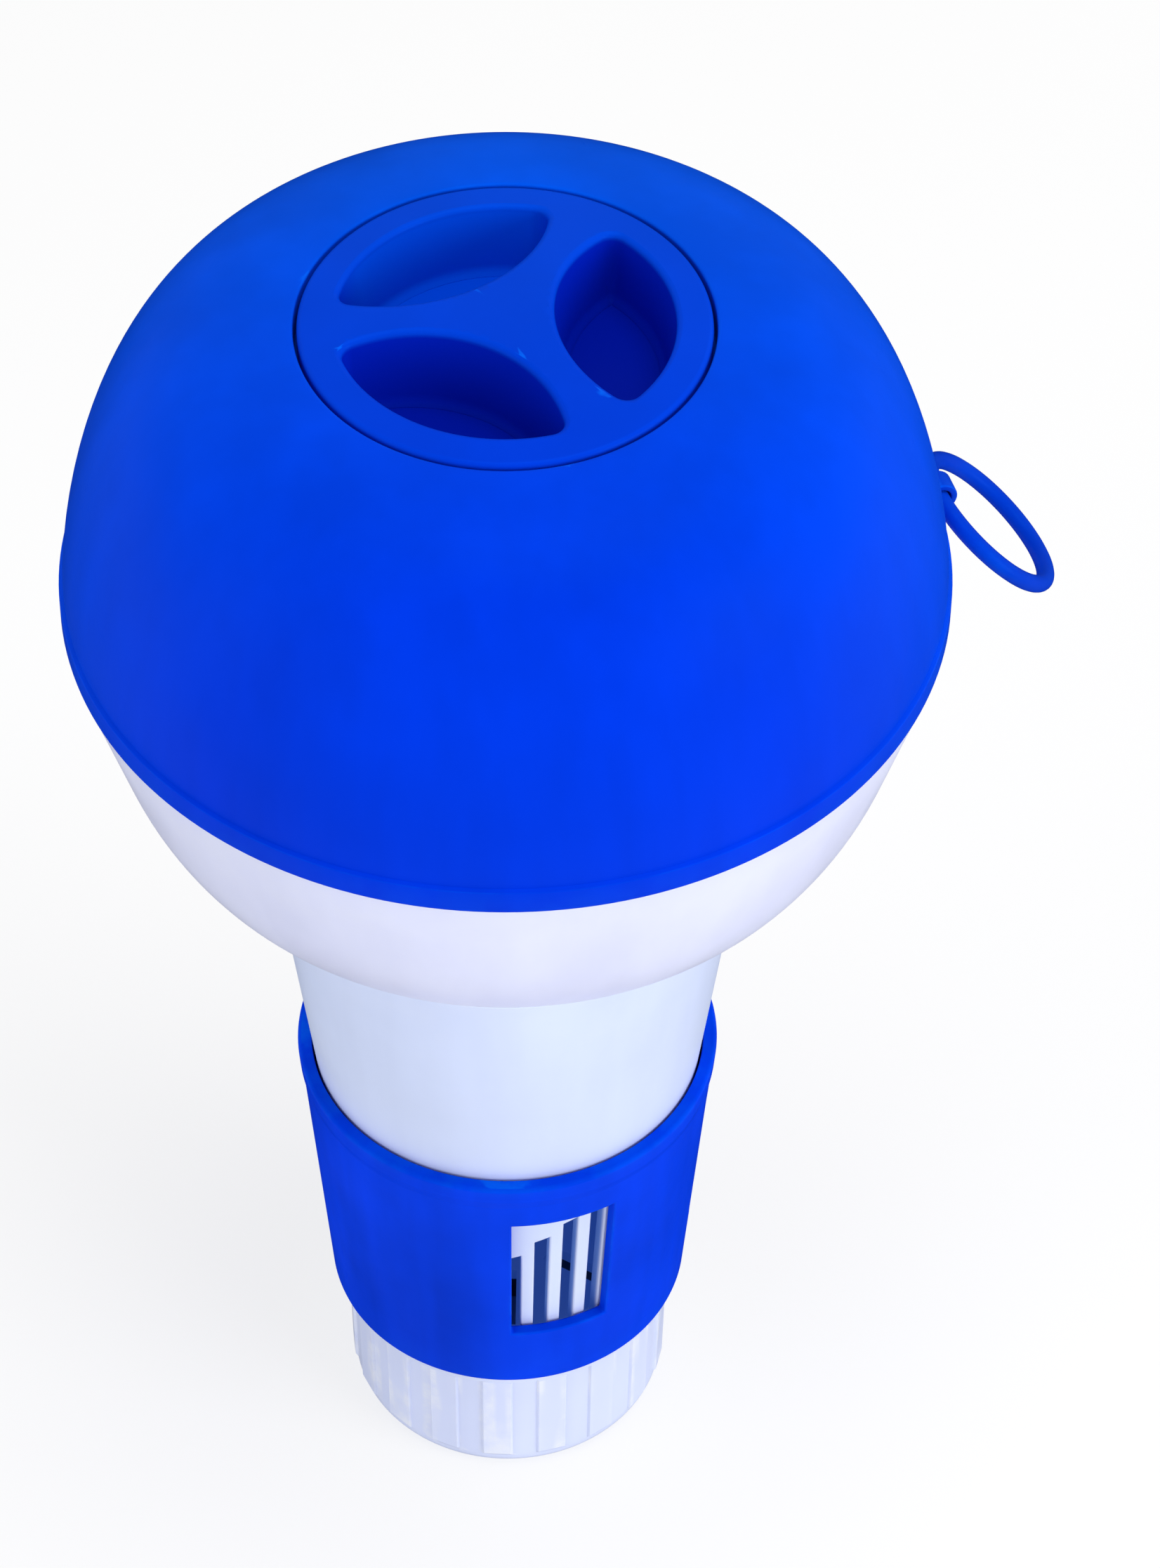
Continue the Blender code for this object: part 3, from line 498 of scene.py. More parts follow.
def make_tube():
    """The slotted tube: rows of points at even heights, each slot's top row moved to its own height."""
    rows = [SLOT_BOTTOM + index * ROW_STEP for index in range(ROWS)]
    groove = SPIGOT_RADIUS - GROOVE_DEPTH
    above = [(SPIGOT_BORE + 1.0, TUBE_TOP), (SPIGOT_RADIUS, TUBE_TOP, 0.6), (SPIGOT_RADIUS, GROOVE_TOP)]
    above += [(groove, GROOVE_TOP), (groove, GROOVE_BOTTOM), (SPIGOT_RADIUS, GROOVE_BOTTOM)]
    above += [(SPIGOT_RADIUS, SHOULDER), (tube_radius(SHOULDER), SHOULDER, 0.3)]
    above += [(tube_radius(COLLAR_TOP), COLLAR_TOP)]
    outer = rounded(above, closed=False) + [(tube_radius(z), z) for z in reversed(rows)]
    seat, floor = CAP_TOP + 0.3, CAP_TOP + 0.1
    below = [(tube_radius(seat), seat), (TUBE_FOOT_RADIUS, seat), (TUBE_FOOT_RADIUS, TUBE_BOTTOM)]
    below += [(TUBE_FOOT_BORE, TUBE_BOTTOM), (TUBE_FOOT_BORE, floor)]
    below += [(tube_radius(CAP_TOP) - TUBE_WALL, floor)]
    inner = [(tube_radius(z) - TUBE_WALL, z) for z in rows]
    end = [(tube_radius(z) - TUBE_WALL, z) for z in (COLLAR_TOP, SHOULDER - 6.0)]
    end += [(SPIGOT_BORE, SHOULDER + 2.0), (SPIGOT_BORE, TUBE_TOP)]
    profile = outer + below + inner + end
    sides = Sides(len(outer) - 1, len(outer) + len(below))
    breaks, slots = [], []
    for group in (0.0, 180.0):
        for number in range(SLOTS):
            centre = (FRONT + group + FIRST_SLOT + number * SLOT_PITCH) % 360.0
            breaks += [centre - SLOT_WIDTH / 2.0, centre + SLOT_WIDTH / 2.0]
            slots.append((centre - SLOT_WIDTH / 2.0, slot_top(number)))
    angles = angles_through(breaks, TUBE_STEP)
    openings = []
    for start, top in slots:
        first = nearest(angles, start)
        row = min(range(ROWS), key=lambda index: abs(rows[index] - top))
        openings.append((first, first + round(SLOT_WIDTH / TUBE_STEP), 0, row))
    shape, columns = lathe(profile, angles, skip=open_faces(openings, len(angles), sides))
    for opening, (_, top) in zip(openings, slots):
        first, last, _, row = opening
        for a in range(first, last + 1):
            slant = SLOT_SLANT * ((a - first) / (last - first) - 0.5)
            for place in (sides.outer(row), sides.inner(row)):
                vert = columns[a % len(columns)][place]
                radial = Vector((vert.co.x, vert.co.y)).normalized()
                change = top + slant - rows[row]
                vert.co.z += change * MM
                vert.co.x += radial.x * TUBE_TAPER * change * MM
                vert.co.y += radial.y * TUBE_TAPER * change * MM
        jambs(shape, columns, opening, sides)
    tube = finish_mesh("slotted_tube", shape)
    soften(tube, 0.22)
    return tube


def make_collar():
    """The flow collar, with two windows, two shallow grip panels and a raised band at the top."""
    def inside(height):
        return TUBE_RADIUS + TUBE_TAPER * (height - COLLAR_TOP) + COLLAR_GAP

    def outside(height, step=COLLAR_BAND_STEP):
        return inside(height) + COLLAR_WALL - step

    rows = [WINDOW_BOTTOM + (WINDOW_TOP - WINDOW_BOTTOM) * index / (ROWS - 1) for index in range(ROWS)]
    faded = COLLAR_BAND - COLLAR_BAND_FADE
    over, under = WINDOW_TOP + WINDOW_MARGIN, WINDOW_BOTTOM - WINDOW_MARGIN
    top = [(inside(COLLAR_TOP) + 0.1, COLLAR_TOP), (outside(COLLAR_TOP, 0.0), COLLAR_TOP, 0.7)]
    top += [(outside(COLLAR_BAND, 0.0), COLLAR_BAND, 1.0), (outside(faded), faded, 1.0)]
    top += [(outside(over), over)]
    outer = rounded(top, closed=False) + [(outside(z), z) for z in reversed(rows)]
    foot = [(outside(under), under), (outside(COLLAR_BOTTOM), COLLAR_BOTTOM, 0.9)]
    foot += [(inside(COLLAR_BOTTOM), COLLAR_BOTTOM, 0.4), (inside(under), under)]
    foot = rounded(foot, closed=False)
    inner = [(inside(z), z) for z in rows]
    end = [(inside(COLLAR_TOP - 0.6), COLLAR_TOP - 0.6), (inside(COLLAR_TOP) - 0.15, COLLAR_TOP - 0.25)]
    profile = outer + foot + inner + end
    sides = Sides(len(outer) - 1, len(outer) + len(foot))
    windows = [FRONT + WINDOW_CENTRE + group for group in (0.0, 180.0)]
    grips = [FRONT + 90.0 + group for group in (0.0, 180.0)]
    breaks = [centre + side * WINDOW_ARC / 2.0 for centre in windows for side in (-1, 1)]
    breaks += [centre + side * reach for centre in grips for side in (-1, 1)
               for reach in (GRIP_ARC / 2.0, GRIP_ARC / 2.0 + PANEL_EDGE)]
    angles = angles_through(breaks, WINDOW_STEP)
    openings = []
    for centre in windows:
        first = nearest(angles, centre - WINDOW_ARC / 2.0)
        openings.append((first, first + round(WINDOW_ARC / WINDOW_STEP), 0, ROWS - 1))

    def panel(turn, index, r, z):
        """Sinks the two grip panels into the outer side."""
        if not sides.outer(ROWS - 1) <= index <= sides.outer(0):
            return 0.0
        inside_panel = any(abs(from_azimuth(turn, centre)) < GRIP_ARC / 2.0 + 0.01 for centre in grips)
        return -GRIP_DEPTH if inside_panel else 0.0

    skip = open_faces(openings, len(angles), sides)
    shape, columns = lathe(profile, angles, shape_radius=panel, skip=skip)
    for opening in openings:
        jambs(shape, columns, opening, sides)
    collar = finish_mesh("collar_sleeve", shape)
    soften(collar, 0.35, 3)
    return collar


def make_cap():
    """The ribbed base: flat ribs stand a little proud of the wall."""
    corners = [(0.0, CAP_FLOOR), (CAP_BORE, CAP_FLOOR, 1.0), (CAP_BORE, CAP_TOP, 0.3)]
    corners += [(CAP_FLANGE, CAP_TOP, 0.3), (CAP_FLANGE, CAP_TOP - 1.0, 0.3)]
    corners += [(CAP_RADIUS, CAP_TOP - 2.0, 0.5), (CAP_RADIUS - 0.05, CAP_TOP - 3.0)]
    upper = rounded(corners, closed=False)
    rib_high, rib_low = CAP_TOP - 3.4, CAP_CORNER + 0.8
    wall = [(CAP_RADIUS - CAP_DRAFT * (CAP_TOP - z) / CAP_TOP, z)
            for z in (rib_high + 0.4, rib_high, (rib_high + rib_low) / 2.0, rib_low, rib_low - 0.6)]
    corner = arc(CAP_RADIUS - CAP_DRAFT - CAP_CORNER, CAP_CORNER, CAP_CORNER, 0.0, -90.0, 12)
    under = [(BASE_GROOVE_OUTER + 1.0, 0.0), (BASE_GROOVE_OUTER, 0.0, 0.2)]
    under += [(BASE_GROOVE_OUTER - BASE_GROOVE_SLOPE, BASE_GROOVE_DEPTH, 0.2)]
    under += [(BASE_GROOVE_INNER + BASE_GROOVE_SLOPE, BASE_GROOVE_DEPTH, 0.2)]
    under += [(BASE_GROOVE_INNER, 0.0, 0.2), (0.0, 0.0)]
    profile = upper + wall + corner + rounded(under, closed=False)
    rib_rows = range(len(upper) + 1, len(upper) + 4)
    half = math.degrees(RIB_WIDTH / 2.0 / CAP_RADIUS)
    centres = [RIB_START + number * 360.0 / RIBS for number in range(RIBS)]
    breaks = [centre + side * reach for centre in centres for side in (-1, 1)
              for reach in (half, half + PANEL_EDGE)]

    def rib(turn, index, r, z):
        """Raises a rib whose face is nearly flat."""
        if index not in rib_rows:
            return 0.0
        away = min(abs(from_azimuth(turn, centre)) for centre in centres)
        if away > half + 0.01:
            return 0.0
        flat = (CAP_RADIUS * math.cos(math.radians(half)) / math.cos(math.radians(away))) - CAP_RADIUS
        return RIB_HEIGHT + flat * RIB_FLATNESS

    shape, _ = lathe(profile, angles_through(breaks, 2.2), closed=False, shape_radius=rib)
    cap = finish_mesh("ribbed_cap", shape, 25.0)
    soften(cap, 0.12, 2, 30.0)
    return cap


# ---------------------------------------------------------------- lid

def lid_top(radius):
    """The lid's top is crowned: lower towards its edge."""
    return LID_TOP - LID_CROWN * (radius / LID_RADIUS) ** 2


def lens(height, offset, azimuth, crowned=0.0):
    """One ring of a finger recess: a lens with round tips, grown by offset, at a height.

    A crowned ring follows the lid's top, which is lower away from the middle.
    """
    outer, inner = RECESS_OUTER - RECESS_TIP, RECESS_RADIUS - RECESS_TIP
    tip_x = (outer ** 2 - inner ** 2 + RECESS_CENTRE ** 2) / (2.0 * RECESS_CENTRE)
    tip_y = math.sqrt(outer ** 2 - tip_x ** 2)
    outer_tip = math.degrees(math.atan2(tip_y, tip_x))
    inner_tip = math.degrees(math.atan2(tip_y, tip_x - RECESS_CENTRE))
    tip = RECESS_TIP + offset
    ring = arc(0.0, 0.0, outer + tip, -outer_tip, outer_tip, LENS_POINTS)
    ring += arc(tip_x, tip_y, tip, outer_tip, inner_tip, TIP_POINTS)[1:-1]
    ring += arc(RECESS_CENTRE, 0.0, inner + tip, inner_tip, 360.0 - inner_tip, LENS_POINTS)
    ring += arc(tip_x, -tip_y, tip, -inner_tip, -outer_tip, TIP_POINTS)[1:-1]
    turn = Matrix.Rotation(math.radians(azimuth), 3, "Z")
    heights = [height - crowned * (LID_TOP - lid_top(math.hypot(x, y))) for x, y in ring]
    return [tuple(turn @ Vector((x, y, z))) for (x, y), z in zip(ring, heights)]


def recess_tool(azimuth):
    """What is cut out for one finger recess: a flared lip, drafted walls and a filleted floor."""
    wall_top, wall_bottom = LID_TOP - RECESS_LIP, RECESS_FLOOR + RECESS_FILLET
    rings = []
    for step in range(7):
        angle = math.radians(90.0 * step / 6)
        offset = -RECESS_DRAFT - RECESS_FILLET * (1.0 - math.sin(angle))
        height = RECESS_FLOOR + RECESS_FILLET * (1.0 - math.cos(angle))
        rings.append(lens(height, max(offset, 0.15 - RECESS_TIP), azimuth))
    for step in range(1, 6):
        share = step / 6
        height = wall_bottom + (wall_top - wall_bottom) * share
        rings.append(lens(height, -RECESS_DRAFT * (1.0 - share), azimuth, crowned=share))
    for step in range(8):
        angle = math.radians(CROWN_SWEEP * step / 7)
        height = wall_top + RECESS_LIP * math.sin(angle)
        rings.append(lens(height, RECESS_LIP * (1.0 - math.cos(angle)), azimuth, crowned=1.0))
    flare = RECESS_LIP * (1.0 - math.cos(math.radians(CROWN_SWEEP)))
    rings.append(lens(LID_TOP + 0.03, flare + 0.1, azimuth, crowned=1.0))
    rings.append(lens(LID_TOP + 3.0, flare + 0.1, azimuth))
    return loft("recess", rings)


def make_lid():
    """The crowned lid: a plate with a skirt, three bayonet lugs and three finger recesses."""
    edge = LID_RADIUS - LID_EDGE_ROUND
    corners = [(r, lid_top(r)) for r in np.linspace(0.0, edge - 0.3, 28)]
    corners += arc(edge, lid_top(edge) - LID_EDGE_ROUND, LID_EDGE_ROUND, CROWN_SWEEP, 0.0, 9)
    corners += [(LID_RADIUS, LID_UNDERSIDE, 0.3), (SKIRT_RADIUS, LID_UNDERSIDE, 0.3)]
    corners += [(SKIRT_RADIUS, LID_BOTTOM, 0.5), (SKIRT_BORE_RADIUS, LID_BOTTOM, 0.5)]
    corners += [(r, lid_top(r) - LID_PLATE) for r in (SKIRT_BORE_RADIUS, 18.0, 12.0, 6.0, 0.0)]
    lid = turned("lid_cap", rounded(corners, closed=False), closed=False)
    for azimuth in LUG_AZIMUTHS:
        ends = [azimuth - LUG_ARC / 2.0 + LUG_ARC * i / 10 for i in range(11)]
        outline = [(LUG_RADIUS, math.radians(turn)) for turn in ends]
        outline += [(SKIRT_BORE_RADIUS + 0.5, math.radians(turn)) for turn in reversed(ends)]
        rings = [[(r * math.cos(turn), r * math.sin(turn), z) for r, turn in outline]
                 for z in (LUG_BOTTOM, LUG_TOP)]
        boolean(lid, loft("lug", rings), "UNION")
    for azimuth in RECESS_AZIMUTHS:
        boolean(lid, loft("cup", [lens(z, offset, azimuth) for z, offset in CUP_RINGS]), "UNION")
        boolean(lid, recess_tool(azimuth), "DIFFERENCE")
    smooth(lid.data, 32.0)
    flatten(lid, 100)
    return lid


def make_gasket():
    """The flat washer between the lid's plate and its seat."""
    bore = GASKET_RADIUS - GASKET_WIDTH
    corners = [(GASKET_RADIUS, GASKET_TOP), (GASKET_RADIUS, GASKET_BOTTOM)]
    corners += [(bore, GASKET_BOTTOM), (bore, GASKET_TOP)]
    return turned("gasket_washer", rounded([(r, z, GASKET_ROUND) for r, z in corners]), MEDIUM)


# ---------------------------------------------------------------- tether ring

def at_hinge():
    return Matrix.Translation(HINGE) @ Matrix.Rotation(math.radians(RING_AZIMUTH), 4, "Z")


def make_ring():
    """A slightly flattened ring, hung from the hinge."""
    shape = bmesh.new()
    turns, sides = 120, 24
    rows = []
    for a in range(turns):
        angle = 2.0 * math.pi * a / turns
        row = []
        for b in range(sides):
            round_angle = 2.0 * math.pi * b / sides
            reach = RING_RADIUS + RING_SECTION * math.cos(round_angle)
            height = RING_SECTION * RING_FLATNESS * math.sin(round_angle)
            row.append(shape.verts.new(((RING_RADIUS + reach * math.cos(angle)) * MM,
                                        reach * math.sin(angle) * MM, height * MM)))
        rows.append(row)
    for a in range(turns):
        after = rows[(a + 1) % turns]
        for b in range(sides):
            c = (b + 1) % sides
            shape.faces.new((rows[a][b], after[b], after[c], rows[a][c]))
    droop = Matrix.Rotation(math.radians(RING_DROOP), 4, "Y")
    bmesh.ops.transform(shape, matrix=at_hinge() @ droop, verts=shape.verts)
    return finish_mesh("ring", shape)


def make_lug():
    """The eye on the rim: an outline with a round nose and a bore, thickened along the rim."""
    root, nose_radius = -LUG_ROOT + LUG_EDGE, LUG_EYE_RADIUS - LUG_EDGE
    nose = arc(0.0, 0.0, nose_radius, 90.0, -90.0, 25)
    outline = [(root, nose_radius)] + nose + [(root, -nose_radius)]
    bore = arc(0.0, 0.0, LUG_EYE_BORE + LUG_BORE_EDGE, 0.0, 345.0, 24)
    curve = bpy.data.curves.new("lug_outline", "CURVE")
    curve.dimensions = "2D"
    curve.fill_mode = "BOTH"
    curve.extrude = (LUG_WIDTH / 2.0 - LUG_EDGE) * MM
    curve.bevel_depth = LUG_BEVEL * MM
    curve.bevel_resolution = 3
    for points in (outline, bore):
        spline = curve.splines.new("POLY")
        spline.points.add(len(points) - 1)
        for point, (x, y) in zip(spline.points, points):
            point.co = (x * MM, y * MM, 0.0, 1.0)
        spline.use_cyclic_u = True
    guide = link("lug_guide", curve)
    guide.matrix_world = at_hinge() @ Matrix.Rotation(math.pi / 2.0, 4, "X")
    bpy.context.view_layer.update()
    mesh = bpy.data.meshes.new_from_object(guide.evaluated_get(bpy.context.evaluated_depsgraph_get()))
    mesh.transform(guide.matrix_world)
    bpy.data.objects.remove(guide)
    shape = bmesh.new()
    shape.from_mesh(mesh)
    bmesh.ops.remove_doubles(shape, verts=shape.verts, dist=0.000002)
    return finish_mesh("lug_eye", shape)


# ---------------------------------------------------------------- materials

DOME_BLUE = (0.0001, 0.034, 0.66)
# painted light: the back of the dome lighter and greener, where the light falls on its top
DOME_BACK_PAINTED_LIGHT = (0.0001, 0.084, 0.74)
LID_BLUE = (0.0002, 0.031, 0.59)
# painted light: the back of the lid lighter and greener, where the light falls on it
LID_BACK_PAINTED_LIGHT = (0.0002, 0.060, 0.64)
COLLAR_BLUE = (0.0001, 0.042, 0.74)
RING_BLUE = (0.0003, 0.036, 0.52)
# painted shade in the finger recesses, and painted light on the back part of the back recess
RECESS_WALL_PAINTED_SHADE = (0.0002, 0.014, 0.48)
RECESS_FLOOR_PAINTED_SHADE = (0.0002, 0.009, 0.35)
RECESS_BACK_PAINTED_LIGHT = (0.0002, 0.066, 0.68)
# lighter edges: partly real rubbing, partly a painted highlight where the light catches them
WEAR_AND_HIGHLIGHT_BLUE = (0.001, 0.130, 0.86)
BLUE_SHEEN = (0.04, 0.40, 1.0)
BOWL_WHITE = (0.71, 0.74, 0.97)
TUBE_WHITE = (0.62, 0.70, 0.94)
CAP_WHITE = (0.62, 0.68, 0.92)
INNER_WHITE = (0.66, 0.70, 0.80)
# lighter edges: partly real rubbing, partly a painted highlight
WEAR_AND_HIGHLIGHT_WHITE = (0.76, 0.79, 0.88)
# painted shade on the slotted tube's jambs and inside
SHADED_WHITE = (0.20, 0.32, 0.60)
PAINTED_THROUGH_GLOW = (0.008, 0.026, 0.105)   # painted glow, standing in for light through the thin wall and the blue collar
WHITE_SHEEN = (1.0, 1.0, 1.0)
WHITE_SPECULAR = 0.3
RUBBER_BLACK, RUBBER_BLOOM = (0.018, 0.018, 0.021), (0.040, 0.041, 0.044)
COATING_DARK, COATING_LIGHT = (0.035, 0.060, 0.075), (0.055, 0.085, 0.10)
PAINTED_LIGHT_FROM, PAINTED_LIGHT_TO = -48.0, 40.0       # along Y, between a blue and its back colour of painted light
WEAR_AND_HIGHLIGHT_FROM, WEAR_AND_HIGHLIGHT_TO = 0.512, 0.58       # pointiness of the edges made lighter, partly by real rubbing and partly as a painted highlight
PEEL_DEPTH, SWELL_DEPTH = 0.000012, 0.00006


class Nodes:
    """Short names for wiring a material."""

    def __init__(self, name):
        self.material = bpy.data.materials.new(name)
        self.material.use_nodes = True
        self.tree = self.material.node_tree
        self.shader = self.tree.nodes["Principled BSDF"]
        self.place = self.tree.nodes.new("ShaderNodeTexCoord").outputs["Object"]

    def join(self, source, target):
        self.tree.links.new(source, target)

    def axes(self):
        """The place's X, Y and Z."""
        node = self.tree.nodes.new("ShaderNodeSeparateXYZ")
        self.join(self.place, node.inputs["Vector"])
        return [node.outputs[axis] for axis in "XYZ"]

    def stretched(self, scale):
        node = self.tree.nodes.new("ShaderNodeMapping")
        node.inputs["Scale"].default_value = scale
        self.join(self.place, node.inputs["Vector"])
        return node.outputs["Vector"]

    def noise(self, scale, detail=3.0, rough=0.5, vector=None):
        node = self.tree.nodes.new("ShaderNodeTexNoise")
        node.inputs["Scale"].default_value = scale
        node.inputs["Detail"].default_value = detail
        node.inputs["Roughness"].default_value = rough
        self.join(vector or self.place, node.inputs["Vector"])
        return node.outputs["Fac"]

    def range(self, source, low_in, high_in, low_out=0.0, high_out=1.0):
        node = self.tree.nodes.new("ShaderNodeMapRange")
        node.inputs["From Min"].default_value = low_in
        node.inputs["From Max"].default_value = high_in
        node.inputs["To Min"].default_value = low_out
        node.inputs["To Max"].default_value = high_out
        self.join(source, node.inputs["Value"])
        return node.outputs["Result"]

    def mix(self, factor, first, second):
        node = self.tree.nodes.new("ShaderNodeMix")
        node.data_type = "RGBA"
        self.join(factor, node.inputs["Factor"])
        for socket, value in ((node.inputs["A"], first), (node.inputs["B"], second)):
            if isinstance(value, tuple):
                socket.default_value = (*value, 1.0)
            else:
                self.join(value, socket)
        return node.outputs["Result"]

    def maths(self, operation, first, second):
        node = self.tree.nodes.new("ShaderNodeMath")
        node.operation = operation
        for socket, value in zip(node.inputs, (first, second)):
            if isinstance(value, float):
                socket.default_value = value
            else:
                self.join(value, socket)
        return node.outputs["Value"]

    def bump(self, height, distance, after=None):
        node = self.tree.nodes.new("ShaderNodeBump")
        node.inputs["Strength"].default_value = 1.0
        node.inputs["Distance"].default_value = distance
        self.join(height, node.inputs["Height"])
        if after:
            self.join(after, node.inputs["Normal"])
        return node.outputs["Normal"]

    def pointiness(self):
        return self.tree.nodes.new("ShaderNodeNewGeometry").outputs["Pointiness"]


def shade_of(colour, factor):
    return tuple(min(1.0, channel * factor) for channel in colour)


def radius_squared(nodes, x, y):
    return nodes.maths("ADD", nodes.maths("MULTIPLY", x, x), nodes.maths("MULTIPLY", y, y))


def streaked(nodes, colour, streaky, back):
    """Flow streaks and mottling of a colour, which may change towards the back to a lighter colour of
    painted light.
    """
    mottle = nodes.range(nodes.noise(28.0, 4.0), 0.35, 0.65)
    streak = nodes.range(nodes.noise(5.0, 3.0, 0.55, nodes.stretched((16.0, 16.0, 1.6))), 0.35, 0.7)
    tone = nodes.maths("MULTIPLY", nodes.maths("ADD", mottle, streak), 0.5)
    darker, lighter = 1.0 - streaky, 1.0 + 0.7 * streaky
    body = nodes.mix(tone, shade_of(colour, darker), shade_of(colour, lighter))
    # the back colour is painted light: lighter and greener towards +Y
    if back:
        _, y, _ = nodes.axes()
        painted_light_body = nodes.mix(tone, shade_of(back, darker), shade_of(back, lighter))
        body = nodes.mix(nodes.range(y, PAINTED_LIGHT_FROM * MM, PAINTED_LIGHT_TO * MM), body, painted_light_body)
    return body


def with_painted_recess_shade(nodes, surface):
    """Painted shade in the finger recesses, darker by the depth below the lid's crowned top, with painted
    light on the back part of the back recess.
    """
    x, y, z = nodes.axes()
    square = radius_squared(nodes, x, y)
    # painted shade: walls dark, floor darker
    to_floor = nodes.range(z, (RECESS_FLOOR + 1.4) * MM, (RECESS_FLOOR + 0.2) * MM)
    shade = nodes.mix(to_floor, RECESS_WALL_PAINTED_SHADE, RECESS_FLOOR_PAINTED_SHADE)
    to_back, to_left = nodes.range(y, 4.0 * MM, 11.0 * MM), nodes.range(x, 7.0 * MM, 3.0 * MM)
    behind = nodes.maths("MULTIPLY", to_back, to_left)
    # painted light: the back part of the back recess lighter
    shade = nodes.mix(behind, shade, RECESS_BACK_PAINTED_LIGHT)
    inside = nodes.range(nodes.maths("POWER", square, 0.5), 24.2 * MM, 23.9 * MM)
    crown = nodes.maths("MULTIPLY", square, LID_CROWN / (LID_RADIUS ** 2 * MM))
    below = nodes.maths("SUBTRACT", LID_TOP * MM, nodes.maths("ADD", z, crown))
    depth = nodes.range(below, 0.6 * MM, 1.2 * MM)
    return nodes.mix(nodes.maths("MULTIPLY", depth, inside), surface, shade)


def with_painted_shade_and_glow(nodes, surface):
    """The slotted tube's jambs and inside: painted shade, and a faint painted glow standing in for light
    through the wall.
    """
    x, y, z = nodes.axes()
    rise = nodes.maths("MULTIPLY", nodes.maths("SUBTRACT", z, COLLAR_TOP * MM), TUBE_TAPER)
    radius = nodes.maths("POWER", radius_squared(nodes, x, y), 0.5)
    inward = nodes.maths("SUBTRACT", nodes.maths("ADD", rise, TUBE_RADIUS * MM), radius)
    within = nodes.range(inward, 0.3 * MM, 0.9 * MM)
    # painted glow: the inside emits light, though it is no lamp
    nodes.shader.inputs["Emission Color"].default_value = (*PAINTED_THROUGH_GLOW, 1.0)
    nodes.join(within, nodes.shader.inputs["Emission Strength"])
    # painted shade on the jambs and inside
    return nodes.mix(within, surface, SHADED_WHITE)


def moulded(name, colour, rough, specular, sheen, wear_and_highlight_colour,
            streaky=0.07, back=None, dress=None, translucent=0.0):
    """Moulded plastic: faint flow streaks and mottling, orange peel, fine scuffs, and edges made lighter,
    partly by rubbing and partly as a painted highlight.

    back is a lighter, greener colour of painted light towards +Y, where the light falls on the top, and
    dress(nodes, surface) may add painted shade to the colour.
    """
    nodes = Nodes(name)
    body = streaked(nodes, colour, streaky, back)
    edge = nodes.range(nodes.pointiness(), WEAR_AND_HIGHLIGHT_FROM, WEAR_AND_HIGHLIGHT_TO)
    wear_and_highlight_mask = nodes.maths("MULTIPLY", edge, nodes.range(nodes.noise(140.0, 5.0, 0.6), 0.42, 0.6, 0.15, 0.75))
    # edges made lighter: partly real rubbing, partly a painted highlight
    surface = nodes.mix(wear_and_highlight_mask, body, wear_and_highlight_colour)
    if dress:
        surface = dress(nodes, surface)
    nodes.join(surface, nodes.shader.inputs["Base Color"])
    scuff = nodes.noise(9.0, 6.0, 0.75, nodes.stretched((70.0, 22.0, 9.0)))
    mat = nodes.range(nodes.noise(60.0, 4.0), 0.3, 0.7, rough - 0.04, rough + 0.05)
    mat = nodes.maths("ADD", mat, nodes.range(scuff, 0.60, 0.72, 0.0, 0.10))
    mat = nodes.maths("ADD", mat, nodes.maths("MULTIPLY", wear_and_highlight_mask, 0.12))
    nodes.join(mat, nodes.shader.inputs["Roughness"])
    peel = nodes.bump(nodes.noise(620.0, 2.0), PEEL_DEPTH)
    swell = nodes.bump(nodes.noise(45.0, 2.0), SWELL_DEPTH, after=peel)
    nodes.join(swell, nodes.shader.inputs["Normal"])
    nodes.shader.inputs["Specular IOR Level"].default_value = specular
    nodes.shader.inputs["Specular Tint"].default_value = (*sheen, 1.0)
    if translucent:
        nodes.shader.inputs["Subsurface Weight"].default_value = translucent
        nodes.shader.inputs["Subsurface Radius"].default_value = (0.8, 0.9, 1.0)
        nodes.shader.inputs["Subsurface Scale"].default_value = 0.0015
    return nodes.material


def blue(name, colour, rough, specular, **extra):
    return moulded(name, colour, rough, specular, BLUE_SHEEN, WEAR_AND_HIGHLIGHT_BLUE, **extra)


def white(name, colour, rough, **extra):
    return moulded(name, colour, rough, WHITE_SPECULAR, WHITE_SHEEN, WEAR_AND_HIGHLIGHT_WHITE, **extra)


def rubber(name):
    nodes = Nodes(name)
    grain = nodes.noise(900.0, 3.0)
    bloom = nodes.range(nodes.noise(120.0, 5.0, 0.6), 0.4, 0.7)
    nodes.join(nodes.mix(bloom, RUBBER_BLACK, RUBBER_BLOOM), nodes.shader.inputs["Base Color"])
    nodes.join(nodes.range(grain, 0.3, 0.7, 0.55, 0.75), nodes.shader.inputs["Roughness"])
    nodes.join(nodes.bump(grain, 0.00003), nodes.shader.inputs["Normal"])
    return nodes.material


def coated_iron(name):
    nodes = Nodes(name)
    cast = nodes.noise(420.0, 5.0, 0.65)
    patch = nodes.range(nodes.noise(70.0, 4.0), 0.4, 0.65)
    nodes.join(nodes.mix(patch, COATING_DARK, COATING_LIGHT), nodes.shader.inputs["Base Color"])
    nodes.join(nodes.range(cast, 0.3, 0.7, 0.35, 0.55), nodes.shader.inputs["Roughness"])
    nodes.join(nodes.bump(cast, 0.00015), nodes.shader.inputs["Normal"])
    return nodes.material


def paint(item, material):
    item.data.materials.clear()
    item.data.materials.append(material)


def place_piece(item, material, body, node):
    """Paints a piece, hides the node that it replaces and hangs it on the body it rides on."""
    paint(item, material)
    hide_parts(node)
    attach(item, body)


# ---------------------------------------------------------------- stage, light and camera

